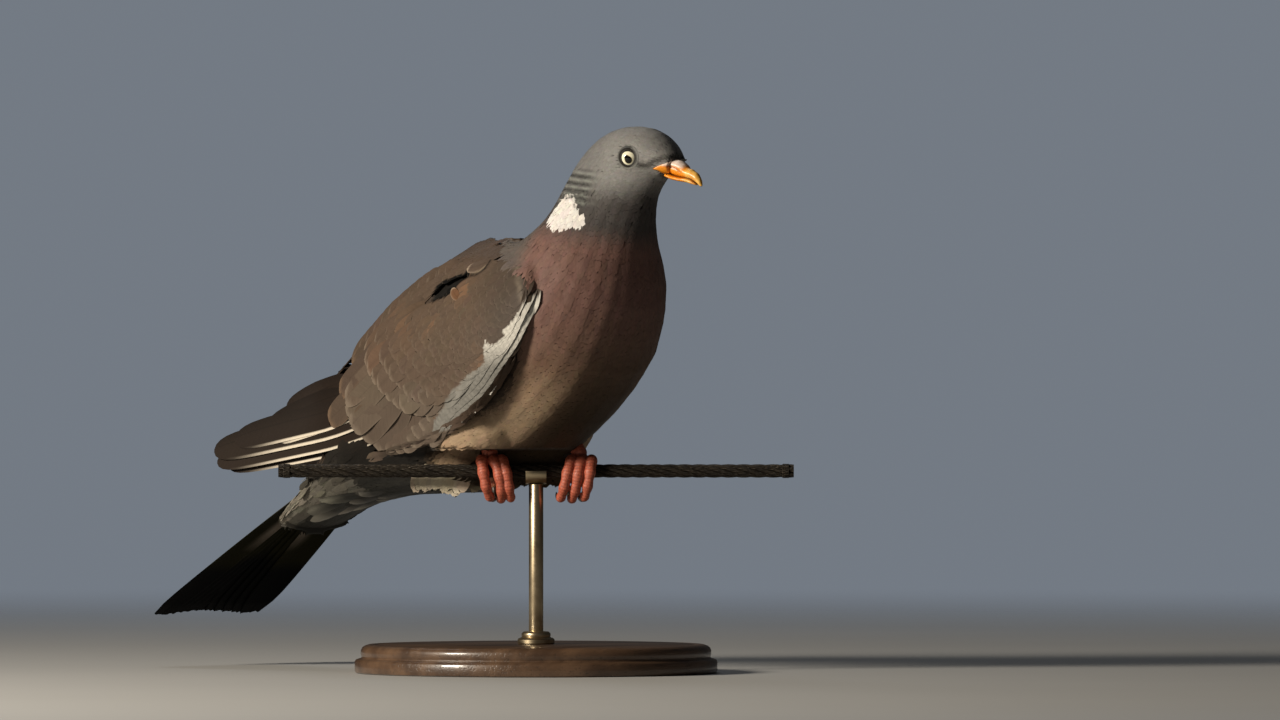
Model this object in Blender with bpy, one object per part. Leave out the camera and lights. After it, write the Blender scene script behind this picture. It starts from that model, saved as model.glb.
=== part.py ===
"""A common wood pigeon gripping a cut length of wire rope, as a still, life-size museum model.

The bird faces -Y with its left side to +X. It sits crouched, its body turned across the rope, with the
wings folded and the tail drooped behind. A plain stand, a turned base and one rod, holds up the rope.
The solids give the outline of the plumage. The origin is the centre of the base's underside.
"""

import math

import bmesh
import bpy
import numpy as np
from mathutils import Matrix, Vector
from mathutils.geometry import interpolate_bezier

MM = 0.001  # tables and sizes below are in millimetres, and MM turns them into metres
GAP = 0.3 * MM  # air between neighbouring pieces

# Driving dimensions
PERCH_HEIGHT = 98 * MM  # rope axis above the floor
ROPE_RADIUS = 3.3 * MM
ROPE_LENGTH = 250 * MM
TURN = math.radians(43.5)  # the body's heading away from the rope
STANCE = 22 * MM  # each foot's distance from the rope's middle, along the rope
BASE_RADIUS = 88 * MM
BASE_THICKNESS = 14 * MM
ROD_RADIUS = 3.5 * MM
EYE_RADIUS = 5.6 * MM
TAIL_LENGTH = 154 * MM

ROPE_WAY = Vector((math.sin(TURN), -math.cos(TURN), 0))  # along the rope, to the bird's left
ROPE_FRONT = Vector((-math.cos(TURN), -math.sin(TURN), 0))  # level, across the rope, to its front
PERCH = Vector((0, 0, PERCH_HEIGHT))

# The body's cross-sections from the end of the tail coverts to the bill. Each row is the back's point
# (forward, up), the belly's point (forward, up) and the half-width, all from the middle of the perch.
BODY_SECTIONS = [
    ((-152, -20), (-155, -31), 23),  # tips of the tail coverts
    ((-132, 3), (-132, -22), 28),
    ((-111, 29), (-105, -15), 33),  # tail root and vent
    ((-92, 53), (-78, -12), 38),  # rump
    ((-72, 77), (-50, -11), 44),
    ((-48, 97), (-21, -9), 47),  # back
    ((-22, 108), (6, 3.5), 46.5),
    ((0, 113), (34, 22.5), 45.5),  # shoulders
    ((14, 119.5), (57.5, 47), 43.5),
    ((22, 126.5), (69.5, 78), 36),  # crop, the fullest part of the breast
    ((26, 135), (70.5, 100), 27.5),
    ((29, 143), (72.5, 117), 20.8),  # neck
    ((35, 152), (76.5, 130.5), 16.8),  # nape and throat
    ((46, 161), (81.5, 137.3), 15),
    ((61, 166), (84, 140.2), 14.6),  # crown, over the eyes
    ((77, 165.2), (86.5, 141.5), 12.8),
    ((88, 159.5), (89, 142), 10),  # forehead
    ((95, 151.5), (92, 143), 6.5),  # feathering at the bill
]
NECK_BASE = 8  # rows of BODY_SECTIONS where the body is parted
HEAD_BASE = 11.5

# The bill's two halves, as rows like those of the body.
UPPER_BILL = [
    ((90, 153.5), (85, 146.2), 5.4),
    ((97, 151.8), (91, 144.6), 5.0),  # swollen cere over the nostrils
    ((101, 149.6), (96, 143.2), 4.3),
    ((104.5, 146.2), (101, 141.9), 3.5),
    ((108.2, 143.4), (105, 140.2), 2.9),
    ((110.4, 140.4), (108, 138.4), 1.9),
    ((110.9, 137.6), (110.3, 137.2), 0.6),  # the hooked tip
]
LOWER_BILL = [
    ((85, 145.8), (87.5, 140.2), 4.8),
    ((91, 144.2), (92.4, 139.6), 4.4),
    ((96, 142.8), (97, 138.8), 3.7),
    ((101, 141.5), (101.4, 138.2), 3.0),
    ((105, 139.8), (105, 137.9), 2.2),
    ((107.4, 138.4), (107.2, 137.8), 0.9),
]

# The folded wing from the bend to the tip: forward, the upper edge (out from the middle, up), the lower
# edge, how far the outer face bulges between them, and the thickness.
WING_SECTIONS = [
    (39, (42.5, 92), (44.5, 78), 2.0, 3.0),
    (35, (41, 98.5), (46.5, 65), 4.5, 6.0),  # the bend
    (25, (34.5, 104.5), (48.5, 48), 9.0, 8.0),
    (9, (25, 110), (49.5, 32), 14.5, 8.5),
    (-12, (12.5, 113), (48, 20.5), 20.5, 8.5),
    (-37, (4.0, 110.5), (44, 13), 25.0, 8.0),
    (-67, (3.2, 94.5), (37, 8), 25.0, 7.5),
    (-102, (3.2, 66), (31, 4.5), 18.0, 6.5),
    (-133, (3.5, 43), (26, 2), 10.5, 5.5),
    (-160, (6.0, 27), (22, 0), 5.5, 4.5),
    (-188, (9.5, 18.5), (19, -2), 2.5, 3.0),
    (-205, (12.5, 10), (16, 2), 0.8, 1.6),
]

# The tail's half-width and thickness at shares of its length.
TAIL_SECTIONS = [(0, 22, 5.5), (0.2, 33.5, 5), (0.5, 37, 4), (0.8, 38.5, 2.8), (1, 39, 1.6)]
TAIL_ROOT = (-100, 17.5)  # forward and up
TAIL_DROOP = math.radians(34)
TAIL_CAMBER = 4 * MM  # how much lower the tail's sides lie than its middle
TAIL_CORNER = 4 * MM  # how much shorter the sides are, which rounds the end

# Each toe: its name, where it leaves the pad and where it ends along the rope, towards the other foot,
# the turn about the rope that it takes from the top, in degrees, and its claw's length.
TOES = [
    ("outer", -4, -2.5, 172, 7),
    ("middle", 0.5, 4.5, 196, 8.5),
    ("inner", 4.5, 10, 178, 7.5),
    ("hind", 0, 1.5, -118, 7),
]
TOE_RADIUS = 2.6 * MM
GRIP_ACROSS = 7.8 * MM  # the toes' curl about the rope, as an ellipse
GRIP_DEPTH = 9.9 * MM
GRIP_DROP = 3.6 * MM

# Where the belly gives way to the rope and the toes: (in front of the rope's axis, up) corners of the
# space in front, which the belly sags behind.
BELLY_REST = [(-4.2, -40), (-4.2, 4.2), (-0.4, 10), (9, 11), (60, 10.8), (60, -40)]


def clear_scene():
    for obj in list(bpy.data.objects):
        bpy.data.objects.remove(obj)


def material(name, colour, roughness, metallic=0.0):
    made = bpy.data.materials.new(name)
    made.use_nodes = True
    shader = made.node_tree.nodes["Principled BSDF"]
    shader.inputs["Base Color"].default_value = (*colour, 1)
    shader.inputs["Roughness"].default_value = roughness
    shader.inputs["Metallic"].default_value = metallic
    return made


def in_profile(point, out=0.0):
    """The place of a (forward, up) point of the bird's profile, out to its left by so much."""
    forward, up = point
    return Vector((out * MM, -forward * MM, PERCH_HEIGHT + up * MM))


def smooth_rows(rows, steps):
    """Rows of numbers with steps rows for each gap, on a smooth curve through them all."""
    rows = np.array(rows, float)
    slopes = np.gradient(rows, axis=0)
    made = []
    for here, there, leave, arrive in zip(rows, rows[1:], slopes, slopes[1:]):
        for t in np.arange(steps) / steps:
            square, cube = t * t, t * t * t
            made.append(
                (2 * cube - 3 * square + 1) * here
                + (cube - 2 * square + t) * leave
                + (3 * square - 2 * cube) * there
                + (cube - square) * arrive
            )
    return made + [rows[-1]]


def skin_rings(name, rings, paint):
    """A closed object over rings of points that all have the same length, flat across both ends."""
    mesh = bmesh.new()
    loops = [[mesh.verts.new(point) for point in ring] for ring in rings]
    count = len(loops[0])
    for low, high in zip(loops, loops[1:]):
        for i in range(count):
            j = (i + 1) % count
            mesh.faces.new((low[i], low[j], high[j], high[i]))
    mesh.faces.new(reversed(loops[0]))
    mesh.faces.new(loops[-1])
    bmesh.ops.recalc_face_normals(mesh, faces=mesh.faces)
    return as_object(name, mesh, paint)


def as_object(name, mesh, paint, sharp=50):
    """The bmesh as a smooth-shaded object in the scene."""
    data = bpy.data.meshes.new(name)
    mesh.to_mesh(data)
    mesh.free()
    data.shade_smooth()
    data.set_sharp_from_angle(angle=math.radians(sharp))
    data.materials.append(paint)
    made = bpy.data.objects.new(name, data)
    bpy.context.scene.collection.objects.link(made)
    return made


def profile_rings(sections, steps, segments):
    """Elliptical rings through the sections' back and belly points."""
    rows = [(*back, *belly, half) for back, belly, half in sections]
    rings = []
    for back_y, back_z, belly_y, belly_z, half in smooth_rows(rows, steps):
        back, belly = in_profile((back_y, back_z)), in_profile((belly_y, belly_z))
        centre, rise = (back + belly) / 2, (back - belly) / 2
        turns = [2 * math.pi * i / segments for i in range(segments)]
        side = Vector((half * MM, 0, 0))
        rings.append([centre + rise * math.cos(a) + side * math.sin(a) for a in turns])
    return rings


def inflated(obj, by=GAP):
    """A cutter: a copy of obj grown along its normals."""
    mesh = bmesh.new()
    mesh.from_mesh(obj.data)
    mesh.normal_update()
    grown = [vert.co + vert.normal * by * vert.calc_shell_factor() for vert in mesh.verts]
    for vert, place in zip(mesh.verts, grown):
        vert.co = place
    made = as_object(obj.name + "_cutter", mesh, obj.data.materials[0])
    return as_cutter(made)


def as_cutter(obj):
    obj.hide_render = True
    obj.display_type = "WIRE"
    return obj


def combine(obj, operation, *others):
    """Cuts the others from obj, or joins them to it, for good."""
    for other in others:
        step = obj.modifiers.new(other.name, "BOOLEAN")
        step.operation = operation
        step.solver = "EXACT"
        step.object = other
    graph = bpy.context.evaluated_depsgraph_get()
    data = bpy.data.meshes.new_from_object(obj.evaluated_get(graph))
    obj.modifiers.clear()
    obj.data = data
    for other in others:
        bpy.data.objects.remove(other)


def make_room(obj, *others):
    """Cuts the others from obj, with the gap all round them."""
    for other in others:
        combine(obj, "DIFFERENCE", inflated(other))


def parted(obj, name, planes):
    """A copy of obj between planes, each given as a point and the way that is cut off, with flat caps."""
    mesh = bmesh.new()
    mesh.from_mesh(obj.data)
    for point, away in planes:
        everything = mesh.verts[:] + mesh.edges[:] + mesh.faces[:]
        cut = bmesh.ops.bisect_plane(
            mesh,
            geom=everything,
            plane_co=point - away * GAP / 2,
            plane_no=away,
            clear_outer=True,
        )
        edges = [e for e in cut["geom_cut"] if isinstance(e, bmesh.types.BMEdge)]
        bmesh.ops.contextual_create(mesh, geom=edges)
    bmesh.ops.recalc_face_normals(mesh, faces=mesh.faces)
    return as_object(name, mesh, obj.data.materials[0])


def section_plane(row):
    """A point on the body's section at this row of the table, and the way towards the head."""
    rows = [(*back, *belly) for back, belly, half in BODY_SECTIONS]
    at = np.array([np.interp(row, range(len(rows)), column) for column in zip(*rows)])
    back, belly = in_profile(at[:2]), in_profile(at[2:])
    across = (back - belly).normalized()
    return (back + belly) / 2, Vector((1, 0, 0)).cross(across).normalized()


def make_body(paint):
    """The head, neck and trunk, modelled whole and parted by two thin cuts."""
    whole = skin_rings("body", profile_rings(BODY_SECTIONS, 2, 24), paint)
    neck_at, to_head = section_plane(NECK_BASE)
    head_at, from_neck = section_plane(HEAD_BASE)
    trunk = parted(whole, "trunk", [(neck_at, to_head)])
    neck = parted(whole, "neck", [(neck_at, -to_head), (head_at, from_neck)])
    head = parted(whole, "head", [(head_at, -from_neck)])
    return as_cutter(whole), head, neck, trunk


def make_bill(paint):
    upper = skin_rings("bill_upper", profile_rings(UPPER_BILL, 2, 10), paint)
    lower = skin_rings("bill_lower", profile_rings(LOWER_BILL, 1, 10), paint)
    make_room(lower, upper)
    return upper, lower


def make_eye(name, side, paint):
    mesh = bmesh.new()
    centre = in_profile((73.2, 152.3), side * 10.4)
    turned = Matrix.Translation(centre) @ Matrix.Rotation(math.pi / 2, 4, "Y")
    bmesh.ops.create_uvsphere(
        mesh, u_segments=12, v_segments=8, radius=EYE_RADIUS, matrix=turned
    )
    return as_object(name, mesh, paint)


def wing_rings(side):
    """A curved plate: round each ring, the outer face runs down and the inner face comes back up."""
    rows = [(f, *upper, *lower, bulge, thick) for f, upper, lower, bulge, thick in WING_SECTIONS]
    shares = [i / 7 for i in range(8)]
    rings = []
    for forward, up_x, up_z, low_x, low_z, bulge, thick in smooth_rows(rows, 2):
        upper, lower = np.array([up_x, up_z]), np.array([low_x, low_z])
        down = (lower - upper) / np.linalg.norm(lower - upper)
        outward = np.array([-down[1], down[0]])
        outer, inner = [], []
        for t in shares:
            arch = math.sin(math.pi * t) ** 0.7
            place = upper + (lower - upper) * t + outward * bulge * arch
            outer.append(place)
            edge = math.sin(math.pi * (0.03 + 0.94 * t)) ** 0.5
            inner.append(place - outward * thick * edge)
        ring = outer + inner[::-1]
        rings.append([in_profile((forward, z), side * x) for x, z in ring])
    return rings


def make_tail(paint):
    """A thin arched plate, drooped from its root, with its end corners rounded off."""
    along = Vector((0, math.cos(TAIL_DROOP), -math.sin(TAIL_DROOP)))
    over = Vector((0, math.sin(TAIL_DROOP), math.cos(TAIL_DROOP)))
    root = in_profile(TAIL_ROOT)
    shares = [-1 + i / 4 for i in range(9)]
    rings = []
    for share, half, thick in smooth_rows(TAIL_SECTIONS, 3):
        faces = []
        for face in (1, -1):
            row = []
            for x in shares:
                length = TAIL_LENGTH * share - TAIL_CORNER * share**6 * abs(x) ** 4
                arch = face * thick * MM / 2 * (1 - 0.6 * x * x) - TAIL_CAMBER * x * x
                row.append(root + along * length + over * arch + Vector((x * half * MM, 0, 0)))
            faces.append(row)
        rings.append(faces[0] + faces[1][::-1])
    return skin_rings("tail", rings, paint)


def rounded_tube(name, points, radii, paint, segments=7):
    """A tube along the points with the radius given at each, closed by small flat ends."""
    rings = []
    for i, (point, radius) in enumerate(zip(points, radii)):
        way = (points[min(i + 1, len(points) - 1)] - points[max(i - 1, 0)]).normalized()
        side = way.cross(Vector((0.02, 0.03, 1))).normalized()
        over = side.cross(way)
        turns = [2 * math.pi * k / segments for k in range(segments)]
        rings.append([point + (side * math.cos(a) + over * math.sin(a)) * radius for a in turns])
    return skin_rings(name, rings, paint)


def grip_point(side, along, turn):
    """A point on the toes' curl: so far from the foot's middle, turned so many degrees from the top."""
    a = math.radians(turn)
    forward = 0.3 * MM + GRIP_ACROSS * math.sin(a)
    up = GRIP_DEPTH * math.cos(a) - GRIP_DROP
    out = side * (STANCE - along * MM)
    return PERCH + ROPE_WAY * out + ROPE_FRONT * forward + Vector((0, 0, up))


def make_foot(side, skin, horn, flesh):
    """One foot curled about the rope, with a short shank up into the flesh, and its four claws."""
    word = "left" if side > 0 else "right"
    toes = []
    for name, start, end, sweep, claw in TOES:
        begin = math.copysign(14, sweep)
        points = [
            grip_point(side, start + (end - start) * t, begin + (sweep - begin) * t)
            for t in (i / 8 for i in range(9))
        ]
        radii = [TOE_RADIUS * k for k in (0.95, 1.05, 0.9, 1, 0.85, 0.92, 0.78, 0.84, 0.6)]
        toes.append(rounded_tube(name, points, radii, skin))
        way = (points[-1] - points[-2]).normalized()
        inward = (PERCH + ROPE_WAY * side * (STANCE - end * MM) - points[-1]).normalized()
        hook = interpolate_bezier(
            points[-1] + way * 2 * GAP,
            points[-1] + way * claw * 0.45 * MM,
            points[-1] + (way * claw * 0.8 + inward * claw * 0.15) * MM,
            points[-1] + (way * claw * 0.95 + inward * claw * 0.5) * MM,
            5,
        )
        thin = [TOE_RADIUS * t for t in (0.56, 0.52, 0.42, 0.28, 0.1)]
        rounded_tube(f"claw_{name}_{word}", hook, thin, horn, segments=6)
    knuckle = grip_point(side, 0.5, -4) + Vector((0, 0, 1 * MM))
    ankle = knuckle + Vector((side * 1.5, 11, 17)) * MM
    shank = [knuckle.lerp(ankle, t) for t in (-0.1, 0.06, 0.35, 0.7, 1)]
    radii = [TOE_RADIUS * t for t in (0.8, 1.35, 1.15, 1.05, 1.15)]
    foot = rounded_tube(f"foot_{word}", shank, radii, skin, segments=9)
    for piece in flesh:
        make_room(piece, foot, toes[-1])
    combine(foot, "UNION", *toes)


def make_thigh(name, side, paint):
    """The feathered thigh, a plump oval on the lower flank."""
    mesh = bmesh.new()
    place = Matrix.Translation(in_profile((-16, 19.5), side * 26))
    lean = Matrix.Rotation(math.radians(-26), 4, "X")
    size = Matrix.Diagonal((19 * MM, 27 * MM, 19 * MM, 1))
    bmesh.ops.create_uvsphere(
        mesh, u_segments=16, v_segments=10, radius=1, matrix=place @ lean @ size
    )
    return as_object(name, mesh, paint)


def make_belly_rest(paint):
    """A cutter for the space in front of the rope and under the belly."""
    rings = []
    for way in (-1, 1):
        end = PERCH + ROPE_WAY * way * ROPE_LENGTH / 2
        ring = [end + ROPE_FRONT * n * MM + Vector((0, 0, z * MM)) for n, z in BELLY_REST]
        rings.append(ring)
    return as_cutter(skin_rings("rest_cutter", rings, paint))


def bar(name, start, end, radius, paint, segments=24, bevel=0.0):
    """A straight round bar between two points."""
    mesh = bmesh.new()
    way = end - start
    turned = way.to_track_quat("Z", "Y").to_matrix().to_4x4()
    bmesh.ops.create_cone(
        mesh,
        cap_ends=True,
        segments=segments,
        radius1=radius,
        radius2=radius,
        depth=way.length,
        matrix=Matrix.Translation((start + end) / 2) @ turned,
    )
    if bevel:
        rims = [e for e in mesh.edges if e.calc_face_angle(0) > math.radians(60)]
        bmesh.ops.bevel(mesh, geom=rims, offset=bevel, segments=2, affect="EDGES", profile=0.5)
    return as_object(name, mesh, paint)


def make_stand(rope, trunk, wood, metal):
    """The base, the rod that stands in it, and the saddle on the rod that the rope lies in."""
    top = Vector((0, 0, BASE_THICKNESS))
    base = bar("stand_base", Vector(), top, BASE_RADIUS, wood, segments=40, bevel=2.5 * MM)
    foot = Vector((0, 0, BASE_THICKNESS - 8 * MM))
    reach = Vector((0, 0, PERCH_HEIGHT - ROPE_RADIUS - 3 * MM))
    rod = bar("stand_rod", foot, reach, ROD_RADIUS, metal)
    make_room(base, rod)
    collar = bar("stand_collar", top + Vector((0, 0, GAP)), top * 1.45, 9 * MM, metal, 20, 1 * MM)
    make_room(collar, rod)
    half = ROPE_WAY * 5 * MM
    drop = Vector((0, 0, 1.2 * MM))
    saddle = bar("stand_saddle", PERCH - half - drop, PERCH + half - drop, 5.2 * MM, metal)
    make_room(trunk, saddle)
    above = Matrix.Translation(PERCH + Vector((0, 0, 10 * MM)))
    mesh = bmesh.new()
    bmesh.ops.create_cube(mesh, size=20 * MM, matrix=above)
    combine(saddle, "DIFFERENCE", as_cutter(as_object("cutter", mesh, metal)))
    make_room(saddle, rope, rod)


def make_model():
    clear_scene()
    grey = material("head_grey", (0.16, 0.17, 0.19), 0.75)
    mauve = material("breast_mauve", (0.25, 0.17, 0.15), 0.75)
    brown = material("wing_brown", (0.15, 0.125, 0.105), 0.75)
    dark = material("tail_dark", (0.04, 0.04, 0.042), 0.7)
    orange = material("bill_orange", (0.75, 0.3, 0.08), 0.45)
    cream = material("eye_cream", (0.8, 0.76, 0.58), 0.15)
    red = material("foot_red", (0.55, 0.16, 0.12), 0.55)
    horn = material("claw_horn", (0.1, 0.08, 0.07), 0.4)
    steel = material("rope_steel", (0.2, 0.19, 0.17), 0.5, 0.8)
    wood = material("base_wood", (0.09, 0.05, 0.03), 0.4)
    brass = material("rod_metal", (0.5, 0.42, 0.28), 0.35, 1.0)

    whole, head, neck, trunk = make_body(mauve)
    head.data.materials[0] = grey
    upper, lower = make_bill(orange)
    eyes = [make_eye("eye_left", 1, cream), make_eye("eye_right", -1, cream)]
    make_room(head, upper, lower, *eyes)

    wings = [
        skin_rings("wing_left", wing_rings(1), brown),
        skin_rings("wing_right", wing_rings(-1), brown),
    ]

    end = ROPE_WAY * ROPE_LENGTH / 2
    rope = bar("perch_rope", PERCH - end, PERCH + end, ROPE_RADIUS, steel, bevel=0.6 * MM)
    tail = make_tail(dark)
    thighs = [make_thigh("thigh_left", 1, mauve), make_thigh("thigh_right", -1, mauve)]
    for thigh, wing in zip(thighs, wings):
        make_room(thigh, whole, wing, rope)
        combine(thigh, "DIFFERENCE", make_belly_rest(mauve))
        make_room(wing, whole)
    make_room(trunk, tail, rope)
    combine(trunk, "DIFFERENCE", make_belly_rest(mauve))
    make_stand(rope, trunk, wood, brass)
    for side, thigh in zip((1, -1), thighs):
        make_foot(side, red, horn, (trunk, thigh))
    bpy.data.objects.remove(whole)


make_model()
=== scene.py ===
"""A wood pigeon, life size, resting on a cut length of wire rope that a plain turned stand carries."""
import math

import bmesh
import bpy
import numpy as np
from mathutils import Matrix, Vector
from mathutils.bvhtree import BVHTree


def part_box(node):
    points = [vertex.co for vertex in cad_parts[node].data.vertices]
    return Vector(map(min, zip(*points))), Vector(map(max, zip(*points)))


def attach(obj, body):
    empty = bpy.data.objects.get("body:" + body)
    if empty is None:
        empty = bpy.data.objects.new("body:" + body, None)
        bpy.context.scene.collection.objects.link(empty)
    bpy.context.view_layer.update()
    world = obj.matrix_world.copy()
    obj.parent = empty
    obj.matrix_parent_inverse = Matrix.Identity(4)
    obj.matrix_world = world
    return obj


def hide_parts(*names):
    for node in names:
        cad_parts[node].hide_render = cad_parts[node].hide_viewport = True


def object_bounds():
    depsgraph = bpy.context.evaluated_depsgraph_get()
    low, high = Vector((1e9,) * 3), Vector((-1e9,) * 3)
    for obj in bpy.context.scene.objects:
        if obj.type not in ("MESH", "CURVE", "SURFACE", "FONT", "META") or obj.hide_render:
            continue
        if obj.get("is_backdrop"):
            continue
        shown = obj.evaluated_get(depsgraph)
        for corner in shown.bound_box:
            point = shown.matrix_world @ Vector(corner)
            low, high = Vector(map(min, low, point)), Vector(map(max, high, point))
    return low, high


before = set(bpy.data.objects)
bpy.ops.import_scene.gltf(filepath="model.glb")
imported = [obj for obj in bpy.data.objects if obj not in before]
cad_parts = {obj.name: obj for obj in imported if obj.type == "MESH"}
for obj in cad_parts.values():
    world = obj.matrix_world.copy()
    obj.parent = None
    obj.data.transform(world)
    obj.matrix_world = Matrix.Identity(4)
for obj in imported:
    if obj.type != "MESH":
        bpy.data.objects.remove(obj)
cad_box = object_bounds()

scene = bpy.context.scene
bpy.ops.object.select_all(action="DESELECT")

# The studio: a plain pale floor that fades into a grey-blue surround, a soft warm lamp on the
# left as the key, a weak wide one on the right, a rim lamp behind, and a level camera with a
# long lens, so the bird is drawn almost without perspective.


class Value:
    """The output of a node, so that sums on it can be written as Python."""

    def __init__(self, finish, socket):
        self.finish, self.socket = finish, socket

    def maths(self, operation, *others):
        return self.finish.node("Math", {"operation": operation}, [self, *others])

    def __add__(self, other):
        return self.maths("ADD", other)

    def __mul__(self, other):
        return self.maths("MULTIPLY", other)

    def __sub__(self, other):
        return self.maths("SUBTRACT", other)

    def __rsub__(self, other):
        return self.finish.node("Math", {"operation": "SUBTRACT"}, [other, self])

    def __truediv__(self, other):
        return self.maths("DIVIDE", other)

    def __pow__(self, other):
        return self.maths("POWER", other)

    __radd__, __rmul__ = __add__, __mul__

    def fade(self, low, high):
        """0 below low, 1 above high, with a smooth turn between them."""
        settings = {"interpolation_type": "SMOOTHSTEP"}
        return self.finish.node("MapRange", settings, {0: self, 1: low, 2: high, 3: 0.0, 4: 1.0})


class Finish:
    """A material; node() adds any node, and the shader's own sockets are set by name."""

    def __init__(self, name, **sockets):
        self.material = bpy.data.materials.new(name)
        self.material.use_nodes = True
        self.tree = self.material.node_tree
        self.shader = self.tree.nodes["Principled BSDF"]
        self.fill(self.shader, {k.replace("_", " "): v for k, v in sockets.items()})

    def fill(self, node, inputs):
        for key, value in enumerate(inputs) if isinstance(inputs, list) else inputs.items():
            if isinstance(value, Value):
                self.tree.links.new(value.socket, node.inputs[key])
            else:
                node.inputs[key].default_value = value

    def node(self, kind, settings=None, inputs=(), output=0):
        node = self.tree.nodes.new("ShaderNode" + kind)
        for name, value in (settings or {}).items():
            setattr(node, name, value)
        self.fill(node, inputs if isinstance(inputs, (list, dict)) else list(inputs))
        return Value(self, node.outputs[output])

    def mix(self, factor, first, second, how="MIX"):
        """A mix of two colours, each a link or three numbers."""
        sides = [(*c, 1) if isinstance(c, tuple) else c for c in (first, second)]
        settings = {"data_type": "RGBA", "blend_type": how}
        return self.node("Mix", settings, {0: factor, 6: sides[0], 7: sides[1]}, 2)

    def darkened(self, mask, colour, by):
        return self.mix(mask, colour, self.mix(1.0, colour, by, "MULTIPLY"))

    def tint(self):
        """The colour that a piece carries at each of its places."""
        return self.node("Attribute", {"attribute_name": "tint"})

    def coloured(self, colour, **others):
        self.fill(self.shader, {"Base Color": colour, **others})

    def stretched(self, scale):
        return self.node("Mapping", {}, {"Vector": self.place(), "Scale": scale})

    def noise(self, where, scale, detail=2.0, rough=0.5):
        inputs = {"Vector": where, "Scale": scale, "Detail": detail, "Roughness": rough}
        return self.node("TexNoise", {}, inputs)

    def place(self):
        return self.node("TexCoord", output=3)

    def parts(self, vector):
        node = self.tree.nodes.new("ShaderNodeSeparateXYZ")
        self.tree.links.new(vector.socket, node.inputs[0])
        return [Value(self, out) for out in node.outputs]

    def joined(self, x, y, z=0.0):
        return self.node("CombineXYZ", {}, [x, y, z])

    def relief(self, height, depth, strength=1.0):
        """Bump in metres of depth, on the shader's Normal."""
        bump = self.node("Bump", {}, {"Strength": strength, "Distance": depth, "Height": height})
        self.fill(self.shader, {"Normal": bump})


rope_low, rope_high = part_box("perch_rope")
PERCH = (rope_low + rope_high) / 2
TURN = math.radians(43.5)  # the bird's heading away from the rope
ROPE_WAY = Vector((math.sin(TURN), -math.cos(TURN), 0))
ROPE_FRONT = Vector((-math.cos(TURN), -math.sin(TURN), 0))
UP = Vector((0, 0, 1))

CAMERA_AWAY, VIEW_WIDTH = 6.0, 0.6208  # metres
aim = PERCH + ROPE_WAY * 0.0504 + UP * 0.0538
bpy.ops.object.camera_add(
    location=aim + ROPE_FRONT * CAMERA_AWAY, rotation=(-ROPE_FRONT).to_track_quat("-Z", "Y").to_euler()
)
scene.camera = bpy.context.object
scene.camera.data.lens = scene.camera.data.sensor_width * CAMERA_AWAY / VIEW_WIDTH
scene.camera.data.clip_end = 60


def lamp(name, way, away, size, power, colour):
    place = aim + way.normalized() * away
    turn = way.to_track_quat("Z", "Y").to_euler()
    bpy.ops.object.light_add(type="AREA", location=place, rotation=turn)
    made = bpy.context.object
    made.name, made.data.size, made.data.energy, made.data.color = name, size, power, colour
    made.visible_camera = False


lamp("key", ROPE_FRONT * 0.66 - ROPE_WAY * 1.0 + UP * 0.40, 1.7, 0.36, 37, (1, 0.90, 0.76))
lamp("fill", ROPE_FRONT + ROPE_WAY * 0.6 + UP * 0.3, 2.2, 1.4, 0.25, (0.95, 0.96, 1))
lamp("rim", -ROPE_FRONT - ROPE_WAY * 0.3 + UP * 1.3, 1.8, 0.8, 3.6, (0.9, 0.94, 1))

scene.view_settings.view_transform = "Standard"
scene.world = bpy.data.worlds.new("surround")
scene.world.use_nodes = True
surround = scene.world.node_tree
shown = surround.nodes["Background"]
shown.inputs["Color"].default_value = (0.172, 0.196, 0.230, 1)
ambient = surround.nodes.new("ShaderNodeBackground")
ambient.inputs["Color"].default_value = (0.022, 0.022, 0.022, 1)
either, ray = surround.nodes.new("ShaderNodeMixShader"), surround.nodes.new("ShaderNodeLightPath")
surround.links.new(ray.outputs["Is Camera Ray"], either.inputs[0])
surround.links.new(ambient.outputs[0], either.inputs[1])
surround.links.new(shown.outputs[0], either.inputs[2])
surround.links.new(either.outputs[0], surround.nodes["World Output"].inputs[0])

bpy.ops.mesh.primitive_circle_add(vertices=128, radius=2.5, fill_type="NGON")
floor = bpy.context.object
floor.name = "floor"
paper = Finish("pale_paper", Roughness=0.9)
x, y, _ = paper.parts(paper.place())
away = (x * x + y * y) ** 0.5
clouds = paper.noise(paper.place(), 3.0, 3.0)
paper.coloured(paper.mix(clouds, (0.40, 0.40, 0.39), (0.45, 0.45, 0.44)), Alpha=1 - away.fade(0.45, 2.3))
floor.data.materials.append(paper.material)
floor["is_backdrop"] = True

# The display stand: a turned and stained beech disc, a brushed brass rod let into it, a bead
# where the rod goes in, and a half-round saddle on the rod's top that the rope lies in.


def settle(piece, name, finish, slot, *nodes):
    """Names a finished piece, gives it its finish, and lets it ride on the model."""
    piece.name = name
    piece.data.materials.clear()
    piece.data.materials.append(finish.material)
    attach(piece, "root")
    if nodes:
        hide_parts(*nodes)
    bpy.ops.object.select_all(action="DESELECT")
    return piece


def work_on(piece):
    bpy.ops.object.select_all(action="DESELECT")
    piece.select_set(True)
    bpy.context.view_layer.objects.active = piece


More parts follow.
